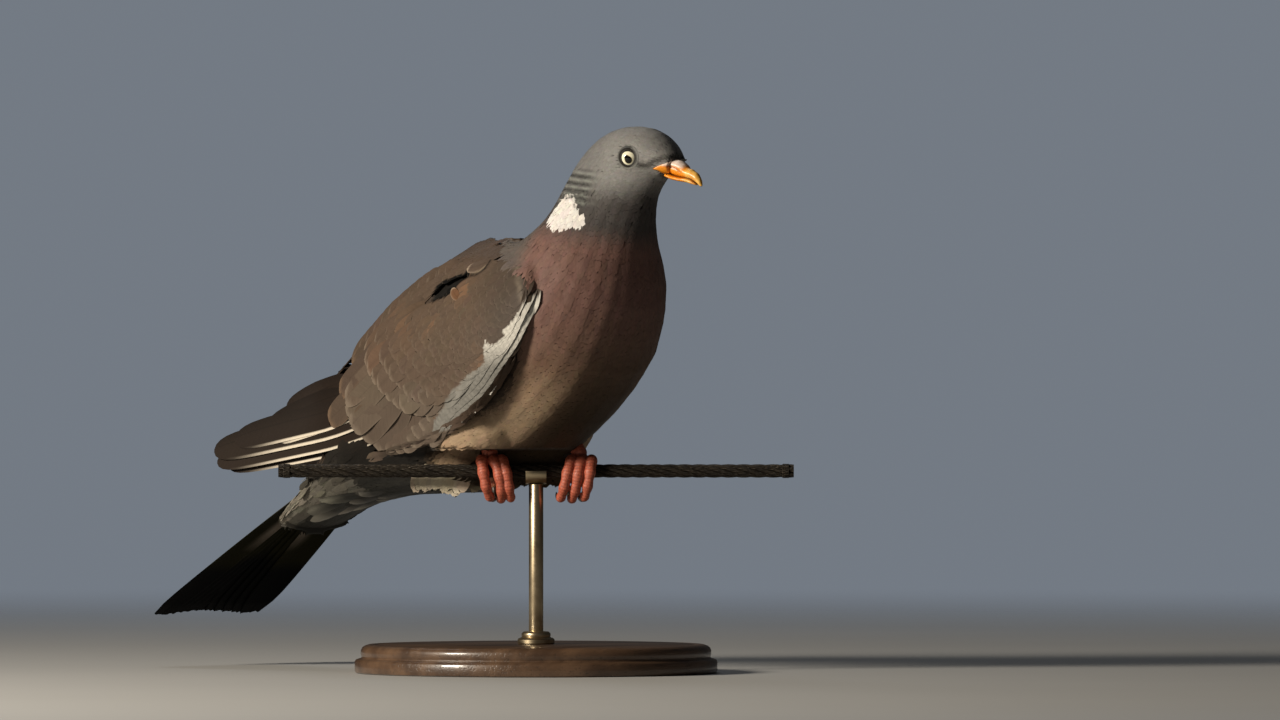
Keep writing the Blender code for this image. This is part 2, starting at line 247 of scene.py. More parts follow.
def turned(profile, sides=96):
    """A solid turned on the upright axis: (radius, height) in millimetres, from the foot up."""
    radius, height = profile[0]
    bpy.ops.mesh.primitive_circle_add(
        vertices=sides, radius=radius / 1000, fill_type="NGON", location=(0, 0, height / 1000)
    )
    piece = bpy.context.object
    bpy.ops.object.transform_apply(location=True, rotation=True, scale=True)
    bpy.ops.object.mode_set(mode="EDIT")
    bpy.ops.mesh.select_mode(type="FACE")
    for wider, higher in profile[1:]:
        rise = {"value": (0, 0, (higher - height) / 1000)}
        bpy.ops.mesh.extrude_region_move(TRANSFORM_OT_translate=rise)
        bpy.ops.transform.resize(value=(wider / radius, wider / radius, 1))
        radius, height = wider, higher
    bpy.ops.mesh.select_all(action="SELECT")
    bpy.ops.mesh.normals_make_consistent(inside=False)
    bpy.ops.object.mode_set(mode="OBJECT")
    bpy.ops.object.shade_smooth_by_angle(angle=math.radians(40))
    return piece


BASE_PROFILE = [(86.6, 0), (87.7, 0.5), (88, 1.5), (88, 5.6), (87.4, 6.6), (86, 7.1), (84.9, 7.3),
                (84.6, 8.0), (85.0, 9.2), (85.0, 11.0), (84.4, 12.4), (83.2, 13.3), (81.4, 13.9),
                (78, 14), (77.4, 13.7), (76.8, 13.7), (76.2, 14), (30, 14), (3.6, 14)]
stain = Finish("stained_beech", Roughness=0.34, Coat_Weight=0.45, Coat_Roughness=0.12)
figure = stain.noise(stain.stretched((5, 60, 60)), 1.6, 5.0, 0.55)
pores = stain.noise(stain.stretched((90, 900, 900)), 1.2, 2.0)
wood = stain.mix(figure.fade(0.3, 0.72), (0.055, 0.030, 0.017), (0.135, 0.078, 0.044))
wood = stain.mix(pores.fade(0.58, 0.75) * 0.6, wood, (0.022, 0.012, 0.007))
stain.coloured(wood, Roughness=0.3 + 0.16 * pores)
stain.relief(pores.fade(0.5, 0.8) * -1.0, 0.0002, 0.5)
settle(turned(BASE_PROFILE), "stand_base_turned", stain, "stand_wood", "stand_base")

brass = Finish("brushed_brass", Metallic=1.0, Roughness=0.36)
brushing = brass.noise(brass.stretched((300, 300, 2600)), 1.0, 2.0)
tarnish = brass.noise(brass.place(), 130.0, 3.0)
metal = brass.mix(tarnish.fade(0.42, 0.7), (0.50, 0.41, 0.27), (0.36, 0.29, 0.19))
brass.coloured(metal, Roughness=0.26 + 0.2 * brushing)
brass.relief(brushing, 0.00004, 0.4)
COLLAR_PROFILE = [(8.6, 14.1), (9, 14.5), (9, 16.2), (8.4, 16.9), (7.4, 17.2), (6.9, 17.6), (7.1, 18.5),
                  (6.9, 19.4), (6.1, 20.1), (4.6, 20.3), (3.6, 20.3)]
settle(turned(COLLAR_PROFILE, 64), "stand_collar_turned", brass, "stand_metal", "stand_collar")
ROD_PROFILE = [(3.4, 6.2), (3.5, 6.4), (3.5, 91.2), (3.3, 91.6)]
settle(turned(ROD_PROFILE, 48), "stand_rod_turned", brass, "stand_metal", "stand_rod")


def as_piece(name, mesh):
    """A new object that shows this mesh."""
    piece = bpy.data.objects.new(name, mesh)
    scene.collection.objects.link(piece)
    return piece


def merged_copy(*nodes):
    """The CAD nodes' shapes as one new object, with the loose triangles joined up."""
    shape = bmesh.new()
    for node in nodes:
        shape.from_mesh(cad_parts[node].data)
    bmesh.ops.remove_doubles(shape, verts=shape.verts, dist=0.000002)
    made = bpy.data.meshes.new(nodes[0] + "_copy")
    shape.to_mesh(made)
    shape.free()
    piece = as_piece(nodes[0] + "_copy", made)
    work_on(piece)
    return piece


def modified(piece, kind, **settings):
    """Adds a modifier to the piece and applies it."""
    work_on(piece)
    modifier = piece.modifiers.new(kind.lower(), kind)
    for name, value in settings.items():
        setattr(modifier, name, value)
    bpy.ops.object.modifier_apply(modifier=modifier.name)
    return piece


saddle = merged_copy("stand_saddle")
modified(saddle, "BEVEL", width=0.0003, segments=2, limit_method="ANGLE", angle_limit=0.6)
bpy.ops.object.shade_smooth_by_angle(angle=math.radians(35))
settle(saddle, "stand_saddle_turned", brass, "stand_metal", "stand_saddle")

# The perch: a cut length of weathered steel wire rope, six strands laid round a core, each
# strand itself a twist of fine wires. Two bands of thin wire keep the cut ends from opening.

ROPE_RADIUS, ROPE_LENGTH, ROPE_LAY, STRANDS = 0.0033, 0.25, 0.043, 6
WIRE_LOOPS, WIRE_STEP = 5, 0.00062  # the turns of wire in a band, and metres from one to the next


def numbers(mesh, field="vertices", name="co", width=3):
    """A list of a mesh's own numbers as an array."""
    found = np.empty(len(getattr(mesh, field)) * width, np.float32)
    getattr(mesh, field).foreach_get(name, found)
    return found.reshape(-1, width).astype(float)


def corners_of(mesh):
    """The vertex at each corner of a mesh's faces."""
    return numbers(mesh, "loops", "vertex_index", 1).astype(int).ravel()


def give_uv(mesh, name, per_corner):
    layer = mesh.uv_layers.new(name=name)
    layer.data.foreach_set("uv", np.ascontiguousarray(per_corner, np.float32).ravel())


def strand(out, turn, thick):
    """One strand: a small disc set out from the rope's axis and screwed along it."""
    bpy.ops.mesh.primitive_circle_add(vertices=14, radius=thick, fill_type="NGON")
    piece = bpy.context.object
    bpy.ops.transform.translate(value=(out * math.cos(turn), out * math.sin(turn), 0))
    bpy.ops.object.transform_apply(location=True, rotation=True, scale=True)
    turns = ROPE_LENGTH / ROPE_LAY
    modified(piece, "SCREW", angle=2 * math.pi * turns, screw_offset=ROPE_LENGTH, steps=150,
             render_steps=150, iterations=1, merge_threshold=0.0, use_merge_vertices=False)
    return piece


lay_out = ROPE_RADIUS * 2 / 3
laid = [strand(lay_out, 2 * math.pi * k / STRANDS, ROPE_RADIUS / 3) for k in range(STRANDS)]
laid.append(strand(0.0001, 0, ROPE_RADIUS / 2.7))
for part in laid:
    work_on(part)
    bpy.ops.object.mode_set(mode="EDIT")
    bpy.ops.mesh.select_all(action="SELECT")
    bpy.ops.mesh.remove_doubles(threshold=0.000005)
    bpy.ops.mesh.normals_make_consistent(inside=False)
    bpy.ops.object.mode_set(mode="OBJECT")
for part in laid:
    part.select_set(True)
bpy.ops.object.join()
rope = bpy.context.object
for way in (-1, 1):
    bpy.ops.mesh.primitive_torus_add(
        major_radius=ROPE_RADIUS - 0.0001, minor_radius=0.00032, major_segments=40, minor_segments=10
    )
    band = bpy.context.object
    bpy.ops.object.transform_apply(location=True, rotation=True, scale=True)
    where = numbers(band.data)
    whole = np.concatenate([where + (0, 0, k * WIRE_STEP) for k in range(WIRE_LOOPS)])
    whole[:, 2] += ROPE_LENGTH / 2 + way * (ROPE_LENGTH / 2 - 0.004) - 0.0012
    faces = [[i + k * len(where) for i in f.vertices] for k in range(WIRE_LOOPS) for f in band.data.polygons]
    ring = bpy.data.meshes.new("seizing")
    ring.from_pydata(whole.tolist(), [], faces)
    band.data = ring
    rope.select_set(True)
    bpy.context.view_layer.objects.active = rope
    bpy.ops.object.join()
lie_flat = ROPE_WAY.to_track_quat("Z", "Y").to_matrix().to_4x4()
lie_flat.translation = PERCH - ROPE_WAY * ROPE_LENGTH / 2
upright = numbers(rope.data)
twist = np.arctan2(upright[:, 1], upright[:, 0]) - upright[:, 2] * 2 * math.pi / ROPE_LAY
own_turn = np.round(twist / (2 * math.pi / STRANDS)) * 2 * math.pi / STRANDS
middle = own_turn + upright[:, 2] * 2 * math.pi / ROPE_LAY
round_it = np.arctan2(upright[:, 1] - lay_out * np.sin(middle), upright[:, 0] - lay_out * np.cos(middle))
give_uv(rope.data, "lay", np.stack([round_it / (2 * math.pi), upright[:, 2] * 100], 1)[corners_of(rope.data)])
rope.data.transform(lie_flat)
rope.data.polygons.foreach_set("use_smooth", [True] * len(rope.data.polygons))
cable = Finish("weathered_wire", Metallic=0.55, Roughness=0.5)
across, length, _ = cable.parts(cable.node("UVMap", {"uv_map": "lay"}))
wires = ((across * 7 + length * 3.4) * (2 * math.pi)).maths("SINE")
grime = cable.noise(cable.place(), 260.0, 4.0)
tone = cable.mix(grime.fade(0.35, 0.7), (0.062, 0.050, 0.036), (0.024, 0.019, 0.014))
tone = cable.mix(wires.fade(-1.0, -0.2), (0.012, 0.010, 0.008), tone)
cable.coloured(tone, Roughness=0.42 + 0.3 * grime)
cable.relief(wires, 0.00010, 0.8)
settle(rope, "perch_rope_laid", cable, "perch_rope", "perch_rope")

# The skin: head, neck, trunk, thighs, wing arms and tail root as one closed surface, lying
# under the feathers by the coat's depth. It carries the bird's colours darkened as painted shade,
# the lids and the bare ring round each eye, and the slit between shoulder and wing where the
# feathers part, painted near black as shade.

EYE_CENTRE, EYE_RADIUS = (73.2, 151.3, 10.4), 5.6  # forward, up and out, in millimetres
EYE_FORWARD = math.radians(27)
MIDLINE = np.array([(97, 148), (90, 150), (75, 152), (60, 151), (50, 139), (46, 118), (40, 98), (29, 76),
                    (9, 58), (-25, 45), (-60, 34), (-97, 18), (-128, -6), (-160, -30)], float)


def smooth_line(points, count):
    """The points joined by a Catmull-Rom curve, at even steps of their length."""
    ends = np.vstack([2 * points[0] - points[1], points, 2 * points[-1] - points[-2]])
    line = []
    for i in range(1, len(ends) - 2):
        a, b, c, d = ends[i - 1:i + 3]
        t = np.linspace(0, 1, 24, endpoint=False)[:, None]
        line.append(0.5 * (2 * b + (c - a) * t + (2 * a - 5 * b + 4 * c - d) * t ** 2
                           + (3 * b - a - 3 * c + d) * t ** 3))
    line = np.vstack([*line, points[-1:]])
    run = np.r_[0, np.cumsum(np.linalg.norm(np.diff(line, axis=0), axis=1))]
    even = np.linspace(0, run[-1], count)
    return np.stack([np.interp(even, run, line[:, k]) for k in range(line.shape[1])], 1)


midline = smooth_line(MIDLINE, 240)
midline_way = np.gradient(midline, axis=0)
midline_way /= np.linalg.norm(midline_way, axis=1)[:, None]


def bird_axes(places):
    """Metres in the model's frame to millimetres forward, up and out to the left, from the perch."""
    return -places[..., 1] * 1000, (places[..., 2] - PERCH.z) * 1000, places[..., 0] * 1000


def model_place(forward, up, out):
    out, back, height = np.broadcast_arrays(out, -np.asarray(forward), np.asarray(up) + PERCH.z * 1000)
    return np.stack([out, back, height], -1) / 1000


def nearest_station(places):
    """For each place, the index of the nearest point of the midline."""
    forward, up, _ = bird_axes(places)
    found = np.empty(len(places), int)
    for start in range(0, len(places), 20000):
        part = slice(start, start + 20000)
        gap = (forward[part, None] - midline[:, 0]) ** 2 + (up[part, None] - midline[:, 1]) ** 2
        found[part] = gap.argmin(1)
    return found


def unwrap(places):
    """The skin's own flat map: turn about the midline, from the belly round, and length along it."""
    forward, up, out = bird_axes(places)
    station = nearest_station(places)
    way = midline_way[station]
    over = (forward - midline[station, 0]) * way[:, 1] - (up - midline[station, 1]) * way[:, 0]
    turn = np.arctan2(out, over * np.sign(-way[:, 0] + 0.001)) / (2 * math.pi) + 0.5
    past = (forward - midline[station, 0]) * way[:, 0] + (up - midline[station, 1]) * way[:, 1]
    return np.stack([turn, np.clip((station * 1.0 + past * 0.1) / len(midline), 0, 1)], 1)


def fade(x, low, high):
    t = np.clip((x - low) / (high - low), 0, 1)
    return t * t * (3 - 2 * t)


def inside(x, y, outline):
    """Which points lie within a closed outline, by counting the sides they look across."""
    found = np.zeros(np.shape(x), bool)
    for (x0, y0), (x1, y1) in zip(outline, outline[1:] + outline[:1]):
        crossed = (y0 > y) != (y1 > y)
        with np.errstate(divide="ignore", invalid="ignore"):
            found ^= crossed & (x < (x1 - x0) * (y - y0) / (y1 - y0) + x0)
    return found


def blend(colours, share, colour):
    share = np.asarray(share)[..., None]
    return colours * (1 - share) + np.array(colour) * share


def painted(colours, *layers):
    """The colours with each layer over the last: how strong it is at each place, and its colour."""
    for share, colour in layers:
        colours = blend(colours, share, colour)
    return colours


# the markings' outlines as forward and up in millimetres
BILL_GAPE = [(87.2, 145.5), (92.0, 147.3), (96.5, 149.2), (101, 149), (99, 137), (93.5, 139.8), (89.6, 142.8)]
NECK_PATCH = [(38, 131.3), (44.5, 131.2), (47, 127.5), (50.5, 124.6), (51.0, 122.6), (54.0, 121.5),
              (55.3, 117.3), (52.5, 115.4), (49.6, 116.4), (46.1, 115.2), (41.9, 114.4), (34.6, 117.6),
              (31.5, 121.8), (35, 127.7)]
SLIT = [(-32.3, 81.9), (-32.8, 86.3), (-32.1, 90.0), (-27.9, 92.4), (-20.7, 94.3), (-14.9, 95.8),
        (-13.2, 98.3), (-9.1, 97.6), (-8.4, 93.5), (-13.8, 89.4), (-15.6, 87.0), (-18.5, 84.5), (-25.3, 82.1)]
ISLET_LINE = [(-12, 97.8), (-7.6, 101.0), (-1.8, 103.2), (1.9, 104.9), (2.4, 101.5), (1.6, 97.8), (-2, 95.3),
              (-7.4, 94.6)]
WHITE_WING = [(40, 84), (36.2, 79), (33.2, 73.5), (29.5, 69.6), (25.5, 67.8), (28.4, 66.2), (25.6, 62.8),
              (21.5, 61), (18, 61.5), (17, 64.8), (16.3, 57), (17, 52.8), (14, 50.5), (8, 47.5), (0, 42),
              (-8, 36), (-13, 30.5), (-21, 24.5), (-24, 19), (-12, 20), (30, 40), (60, 60), (50, 90)]
WING_EDGE = np.array([(41, 90), (38, 80), (31, 65), (21, 52), (9.5, 40), (-8, 29), (-21, 19), (-36, 10.0)])
WING_SHADE = np.vstack([WING_EDGE[1:], [(-60, 7), (-95, 6), (-135, 2)]])
LORE_LINE = np.array([(79, 147.5), (84, 147), (88, 149.6), (94, 152)], float)
# how wide the painted shadow of the wing on the flank is, at places from its rear to its front
SHADE_WIDE = ([-110, -60, -48, -36, -25, -8, 8, 22, 29, 35, 40],
              [14, 13, 11, 3, 2, 3.5, 8.5, 7, 3.5, 1.2, 0.7])


def line_gap(forward, up, line):
    """How far a place of the side view lies from a line."""
    best = np.full(np.shape(forward), 1e9)
    for (x0, y0), (x1, y1) in zip(line, line[1:]):
        run = (x1 - x0) ** 2 + (y1 - y0) ** 2
        t = np.clip(((forward - x0) * (x1 - x0) + (up - y0) * (y1 - y0)) / run, 0, 1)
        best = np.minimum(best, np.hypot(forward - x0 - t * (x1 - x0), up - y0 - t * (y1 - y0)))
    return best


def ridge_share(forward, up):
    """How far a place lies in the ridged feathers of the nape, from 0 to 1."""
    return fade(forward, 31, 38) * (1 - fade(forward, 49, 60)) * fade(up, 125, 130) * (1 - fade(up, 142, 147))


def undertail_tint(forward, out):
    """Cream down beside the tail's root, and painted shade, olive brown, before and beyond it."""
    # painted shade: the middle and the far side of the vent nearly black
    shaded = np.maximum(fade(out, -19, -12), fade(forward, -108, -98))
    return blend(np.tile([0.20, 0.185, 0.150], (len(out), 1)), shaded, (0.012, 0.0105, 0.0045))


def body_colour(places):
    """The plumage colour at each place of the head, neck, trunk and thighs, with painted shade on the throat,
    lores, low belly, vent and the flank beside the wing.
    """
    forward, up, out = bird_axes(places)
    side = np.abs(out)
    front = fade(forward, 78, 88) * (1 - fade(up, 150, 156))
    lore_shade = np.exp(-(line_gap(forward, up, LORE_LINE) / 1.6) ** 2)
    nape = 1 - fade(up - 0.1 * (forward - 50), 124, 141)
    throat_shade = fade(forward + 0.45 * (up - 129), 70, 80) * (1 - fade(up - 0.9 * (forward - 88), 136, 142))
    breast = 1 - fade(up + 0.18 * (forward - 45), 106, 121)
    buff = (1 - fade(up - 0.42 * np.minimum(forward, 30), 10, 40)) * breast * fade(side, 16, 30)
    under = fade(32 - side, 0, 20) * (1 - fade(up, 18, 76)) * breast
    vent = (1 - fade(forward + 0.5 * up, -50, -34)) * (1 - fade(up, 4, 16))
    mantle = (1 - fade(forward - 0.16 * (up - 104) - 0.25 * side, 9, 24)) * fade(up, 78, 92)
    rump = (1 - fade(forward, -70, -40)) * fade(up, 12, 24)
    from_wing_shadow = line_gap(forward, up, WING_SHADE) / np.interp(forward, *SHADE_WIDE)
    return painted(np.tile([0.195, 0.192, 0.186], (len(places), 1)),
                   ((1 - fade(forward, 46, 66)) * 0.8, (0.148, 0.146, 0.142)),
                   (front * 0.8, (0.27, 0.262, 0.250)),
                   # painted shade: a dark line along the lores, where the feathers overhang the mouth corner
                   (lore_shade * 0.85, (0.030, 0.028, 0.026)),
                   (nape * 0.95, (0.048, 0.042, 0.040)),
                   # painted shade: the throat near black, as it looks in shadow
                   (throat_shade * 0.9, (0.022, 0.020, 0.018)),
                   (breast, (0.160, 0.088, 0.072)),
                   ((1 - fade(up, 36, 84)) * breast, (0.150, 0.092, 0.060)),
                   (buff, (0.42, 0.305, 0.198)),
                   # painted shade: the low middle of the belly darkened, as it looks in shadow
                   (under * 0.9, (0.028, 0.018, 0.008)),
                   (vent, undertail_tint(forward, out)),
                   (mantle * (1 - buff), (0.107, 0.088, 0.076)),
                   (rump, (0.125, 0.130, 0.138)),
                   # painted shadow: the flank near black just below and before the folded wing's edge
                   (0.97 * np.exp(-from_wing_shadow ** 4) * fade(side, 8, 15), (0.005, 0.0035, 0.002)))


def lids(places):
    """Millimetres from the eye's own axis, and height along that axis from the eye's centre."""
    forward, up, out = bird_axes(places)
    side = np.where(out < 0, -1.0, 1.0)
    gap = np.stack([forward - EYE_CENTRE[0], up - EYE_CENTRE[1], out * side - EYE_CENTRE[2]], -1)
    axis = np.array([math.sin(EYE_FORWARD), -0.04, math.cos(EYE_FORWARD)])
    axis /= np.linalg.norm(axis)
    height = gap @ axis
    return np.linalg.norm(gap - height[..., None] * axis, axis=-1), height, gap, axis


FLESH = ["head", "neck", "trunk", "thigh_left", "thigh_right", "wing_left", "wing_right", "tail"]
SWELL = 0.0009  # what each piece of flesh grows by, so that the parting cuts close up
CUTS = {"wing_left": (-116, 0), "wing_right": (-116, 0), "tail": (-124, 0)}
flesh = bmesh.new()
for node in FLESH:
    shape = bmesh.new()
    shape.from_mesh(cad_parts[node].data)
    bmesh.ops.remove_doubles(shape, verts=shape.verts, dist=0.000002)
    if node in CUTS:
        everything = shape.verts[:] + shape.edges[:] + shape.faces[:]
        bmesh.ops.bisect_plane(shape, geom=everything, clear_outer=True, plane_no=(0, 1, 0),
                               plane_co=model_place(*CUTS[node], 0).tolist())
        bmesh.ops.holes_fill(shape, edges=shape.edges)
    bmesh.ops.recalc_face_normals(shape, faces=shape.faces)
    shape.normal_update()
    grown = [v.co + v.normal * SWELL * min(v.calc_shell_factor(), 1.6) for v in shape.verts]
    for vert, place in zip(shape.verts, grown):
        vert.co = place
    part = bpy.data.meshes.new(node)
    shape.to_mesh(part)
    shape.free()
    flesh.from_mesh(part)
brow = Matrix.Translation(Vector(model_place(90.0, 149.5, 0))) @ Matrix.Diagonal((0.0044, 0.0056, 0.0036, 1))
bmesh.ops.create_icosphere(flesh, subdivisions=3, radius=1.0, matrix=brow)  # fills the notch over the bill
for side in (-1, 1):
    socket = Matrix.Translation(Vector(model_place(73.2, 151.7, side * 10.4)))
    bmesh.ops.create_icosphere(flesh, subdivisions=3, radius=0.0059, matrix=socket)  # for the lids
made = bpy.data.meshes.new("skin")
flesh.to_mesh(made)
flesh.free()
skin = as_piece("skin", made)
work_on(skin)
skin.data.remesh_voxel_size = 0.0012
bpy.ops.object.voxel_remesh()
modified(skin, "SMOOTH", factor=0.5, iterations=3)


def put_at(mesh, places):
    """Moves a mesh's vertices to these places."""
    mesh.vertices.foreach_set("co", places.astype(np.float32).ravel())
    mesh.update()


def evened(mesh, passes):
    """Smooths a mesh in pairs of steps, in and out again, so that it keeps its size."""
    ends = numbers(mesh, "edges", "vertices", 2).astype(int)
    places = numbers(mesh)
    count = len(places)
    links = np.bincount(ends.ravel(), minlength=count)
    for share in (0.5, -0.53) * passes:
        total = np.stack([np.bincount(ends[:, 0], places[ends[:, 1], k], count)
                          + np.bincount(ends[:, 1], places[ends[:, 0], k], count) for k in range(3)], 1)
        places += (total / links[:, None] - places) * share
    put_at(mesh, places)


evened(skin.data, 30)
outer = numbers(skin.data) - numbers(skin.data, "vertex_normals", "vector") * SWELL
outer_normal = numbers(skin.data, "vertex_normals", "vector")
outer_faces = corners_of(skin.data).reshape(-1, 4)


def labelled(places):
    """For each place, the name of the CAD node it lies on."""
    corners, faces, owner = [], [], []
    for node in FLESH:
        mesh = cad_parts[node].data
        start = sum(len(c) for c in corners)
        corners.append(numbers(mesh))
        faces += [[i + start for i in f.vertices] for f in mesh.polygons]
        owner += [node] * len(mesh.polygons)
    tree = BVHTree.FromPolygons(np.vstack(corners).tolist(), faces)
    return np.array([owner[tree.find_nearest(p)[2]] for p in places.tolist()])


owner = labelled(outer)


class Surface:
    """What the feathers lie on: places, smooth normals, and walks along it."""

    def __init__(self, keep):
        self.faces = outer_faces[keep[outer_faces].all(1)]
        self.tree = BVHTree.FromPolygons(outer.tolist(), self.faces.tolist())

    def at(self, places):
        hits = [self.tree.find_nearest(p) for p in places.tolist()]
        found = np.array([h[0] for h in hits])
        normal = outer_normal[self.faces[[h[2] for h in hits]]].mean(1)
        return found, normal / np.linalg.norm(normal, axis=1)[:, None]

    def scattered(self, spacing, test, draws):
        """Roots spread evenly at random, no two nearer than the spacing, where the test is true."""
        a, b, c, d = (outer[self.faces[:, k]] for k in range(4))
        area = np.linalg.norm(np.cross(c - a, d - b), axis=1) / 2
        middle = (a + b + c + d) / 4
        area = np.where(test(middle), area, 0)
        count = int(area.sum() / spacing ** 2 * 6)
        pick = draws.choice(len(area), count, p=area / area.sum())
        s, t = draws.random(count)[:, None], draws.random(count)[:, None]
        spots = (a[pick] * (1 - s) + b[pick] * s) * (1 - t) + (d[pick] * (1 - s) + c[pick] * s) * t
        cells, kept, reach = {}, [], spacing ** 2
        near = [(i, j, k) for i in (-1, 0, 1) for j in (-1, 0, 1) for k in (-1, 0, 1)]
        for (x, y, z), (i, j, k) in zip(spots.tolist(), np.floor(spots / spacing).astype(int).tolist()):
            if all((x - q[0]) ** 2 + (y - q[1]) ** 2 + (z - q[2]) ** 2 > reach
                   for di, dj, dk in near for q in cells.get((i + di, j + dj, k + dk), ())):
                cells.setdefault((i, j, k), []).append((x, y, z))
                kept.append((x, y, z))
        return np.array(kept)


coat = Surface(np.ones(len(outer), bool))


def coat_depth(places, nodes):
    """How deep the skin lies under the tips of the feathers, by place and by the node it is on."""
    forward, up, _ = bird_axes(places)
    depth = 1.2 + 2.0 * (1 - fade(up, 108, 134))
    at_root = 2.0 * (1 - fade(forward, -80, -45)) * (0.25 + 0.75 * fade(forward, -112, -92))
    depth = np.where(np.char.startswith(nodes, "wing"), 1.5 + at_root, depth)
    depth = np.where(np.char.startswith(nodes, "tail"), 1.2, depth)
    rho, height, _, _ = lids(places)
    depth = np.where(height > 0, depth * fade(rho, 5.6, 8.5), depth)
    return depth * (1 - fade(forward, 86, 91) * 0.7) / 1000


inner = outer - outer_normal * coat_depth(outer, owner)[:, None]
wing_end = np.char.startswith(owner, "wing") * (1 - fade(bird_axes(outer)[0], -110, -84))
inner[:, 0] -= np.sign(inner[:, 0]) * wing_end * 0.0028  # tucked in under the flight feathers
put_at(skin.data, inner)
for reach in (11.0, 8.0, 5.2):
    rho, height, _, _ = lids(numbers(skin.data))
    near = (rho < reach) & (height > 1.5)
    work_on(skin)
    bpy.ops.object.mode_set(mode="EDIT")
    bpy.ops.mesh.select_mode(type="FACE")
    bpy.ops.mesh.select_all(action="DESELECT")
    edit = bmesh.from_edit_mesh(skin.data)
    for face in edit.faces:
        face.select_set(all(near[v.index] for v in face.verts))
    bmesh.update_edit_mesh(skin.data)
    bpy.ops.mesh.subdivide(number_cuts=1, smoothness=0.6)
    bpy.ops.object.mode_set(mode="OBJECT")
places = numbers(skin.data)
rho, height, gap, axis = lids(places)
near_eye = (rho < 9) & (height > 1.0)


def bump(x, middle, width):
    return np.exp(-((x - middle) / width) ** 2)


def eye_turn(gap):
    """Millimetres ahead of the eye's axis, across it, and the turn round that axis from ahead."""
    ahead_of = gap[:, 0] * math.cos(EYE_FORWARD) - gap[:, 2] * math.sin(EYE_FORWARD)
    return ahead_of, np.arctan2(gap[:, 1], ahead_of)


_, round_eye = eye_turn(gap)
crease_behind = bump(rho, 5.15, 0.40) * fade(np.cos(round_eye - math.radians(135)), 0.1, 0.8)
crease_before = bump(rho, 6.2, 0.42) * fade(np.cos(round_eye + math.radians(8)), 0.3, 0.9)
fold = 0.34 * bump(rho, 4.5, 0.40) + 0.22 * bump(rho, 5.5, 0.35) - 0.55 * crease_behind - 0.45 * crease_before
side = np.where(places[:, 0] < 0, -1.0, 1.0)
push = np.stack([side * axis[2], np.full(len(places), -axis[0]), np.full(len(places), axis[1])], 1)
places = places + push * (np.where(near_eye, fold, 0) / 1000)[:, None]
rho, height, gap, axis = lids(places)
centre = model_place(EYE_CENTRE[0], EYE_CENTRE[1], side * EYE_CENTRE[2])
away = np.linalg.norm(places - centre, axis=1) * 1000
ahead_of, round_eye = eye_turn(gap)
opening = np.hypot(ahead_of * 1.06, (gap[:, 1] + 0.4) * 0.95) / away * 5.8
wanted = 4.9 + 1.15 * fade(opening, 3.10, 3.55)
shift = np.where(near_eye, np.where(opening < 3.55, wanted, np.maximum(away, wanted)), away)
places = centre + (places - centre) * (shift / away)[:, None]
forward, up, out = bird_axes(places)
skin_owner = labelled(places)
wing_here = np.char.startswith(skin_owner, "wing")
in_slit = inside(forward, up, SLIT) & (np.abs(out) > 6) & wing_here
places[:, 0] -= np.sign(places[:, 0]) * np.where(in_slit, 0.0018, 0)
put_at(skin.data, places)
bpy.ops.object.shade_smooth()


def wing_colour(forward, up):
    """The wing's brown-grey, warmer above, greyer below and along its front edge, dark behind."""
    return painted(np.tile([0.086, 0.060, 0.043], (len(forward), 1)),
                   (fade(forward + 0.25 * up, 18, 46) * 0.8, (0.054, 0.041, 0.032)),
                   ((1 - fade(up, 24, 46)) * (1 - fade(forward, -30, 0)) * 0.85, (0.118, 0.093, 0.072)),
                   ((1 - fade(forward + 0.4 * up, -66, -34)) * 0.5, (0.085, 0.060, 0.043)),
                   ((1 - fade(forward, -122, -92)) * 0.85, (0.028, 0.020, 0.015)))


def give_tint(mesh, colours):
    layer = mesh.color_attributes.new("tint", "FLOAT_COLOR", "POINT")
    layer.data.foreach_set("color", np.c_[colours, np.ones(len(colours))].astype(np.float32).ravel())


# painted shade: the skin carries the plumage's colours darkened to seven tenths, as under the feathers
tint = np.where(wing_here[:, None], wing_colour(forward, up), body_colour(places)) * 0.7
white = inside(forward, up, NECK_PATCH) & ~wing_here | inside(forward, up, WHITE_WING) & wing_here
tint[white] = (0.50, 0.48, 0.44)
# painted shade: the slit's skin near black, as the hollow under the parted feathers
tint[in_slit] = (0.006, 0.005, 0.004)
bare = (height > 0) & (rho < 6.7)
before, behind = np.cos(round_eye + math.radians(8)), np.cos(round_eye - math.radians(135))
lower_lid = 0.6 * bump(rho, 5.4, 0.4) * fade(-np.sin(round_eye), 0.3, 0.9)
tint = painted(tint, (bare * 1.0, (0.150, 0.152, 0.145)),
               (bare * (1 - fade(rho, 4.1, 4.9)), (0.016, 0.014, 0.012)),
               # painted shade: the creases behind and before the eye darkened
               (bare * 0.9 * bump(rho, 5.15, 0.45) * fade(behind, 0.1, 0.7), (0.016, 0.015, 0.013)),
               (bare * 0.8 * bump(rho, 6.2, 0.45) * fade(before, 0.3, 0.8), (0.020, 0.019, 0.017)),
               (bare * lower_lid, (0.24, 0.235, 0.21)))
tint[inside(forward, up, BILL_GAPE) & ~wing_here] = (0.16, 0.055, 0.012)
give_tint(skin.data, tint)
flat = unwrap(places)
corner = corners_of(skin.data)
starts, sizes = (numbers(skin.data, "polygons", kind, 1).astype(int).ravel()
                 for kind in ("loop_start", "loop_total"))
face_of = np.repeat(np.arange(len(starts)), sizes)
turn = flat[corner, 0]
most = np.maximum.reduceat(turn, starts)[face_of]
turn = np.where((most > 0.75) & (turn < 0.25), turn + 1, turn)
give_uv(skin.data, "OFBake", np.stack([turn * 0.94 + 0.01, flat[corner, 1] * 0.98 + 0.01], 1))
hide = Finish("bird_skin", Roughness=0.55, Specular_IOR_Level=0.35)
pores = hide.noise(hide.place(), 1400.0, 3.0)
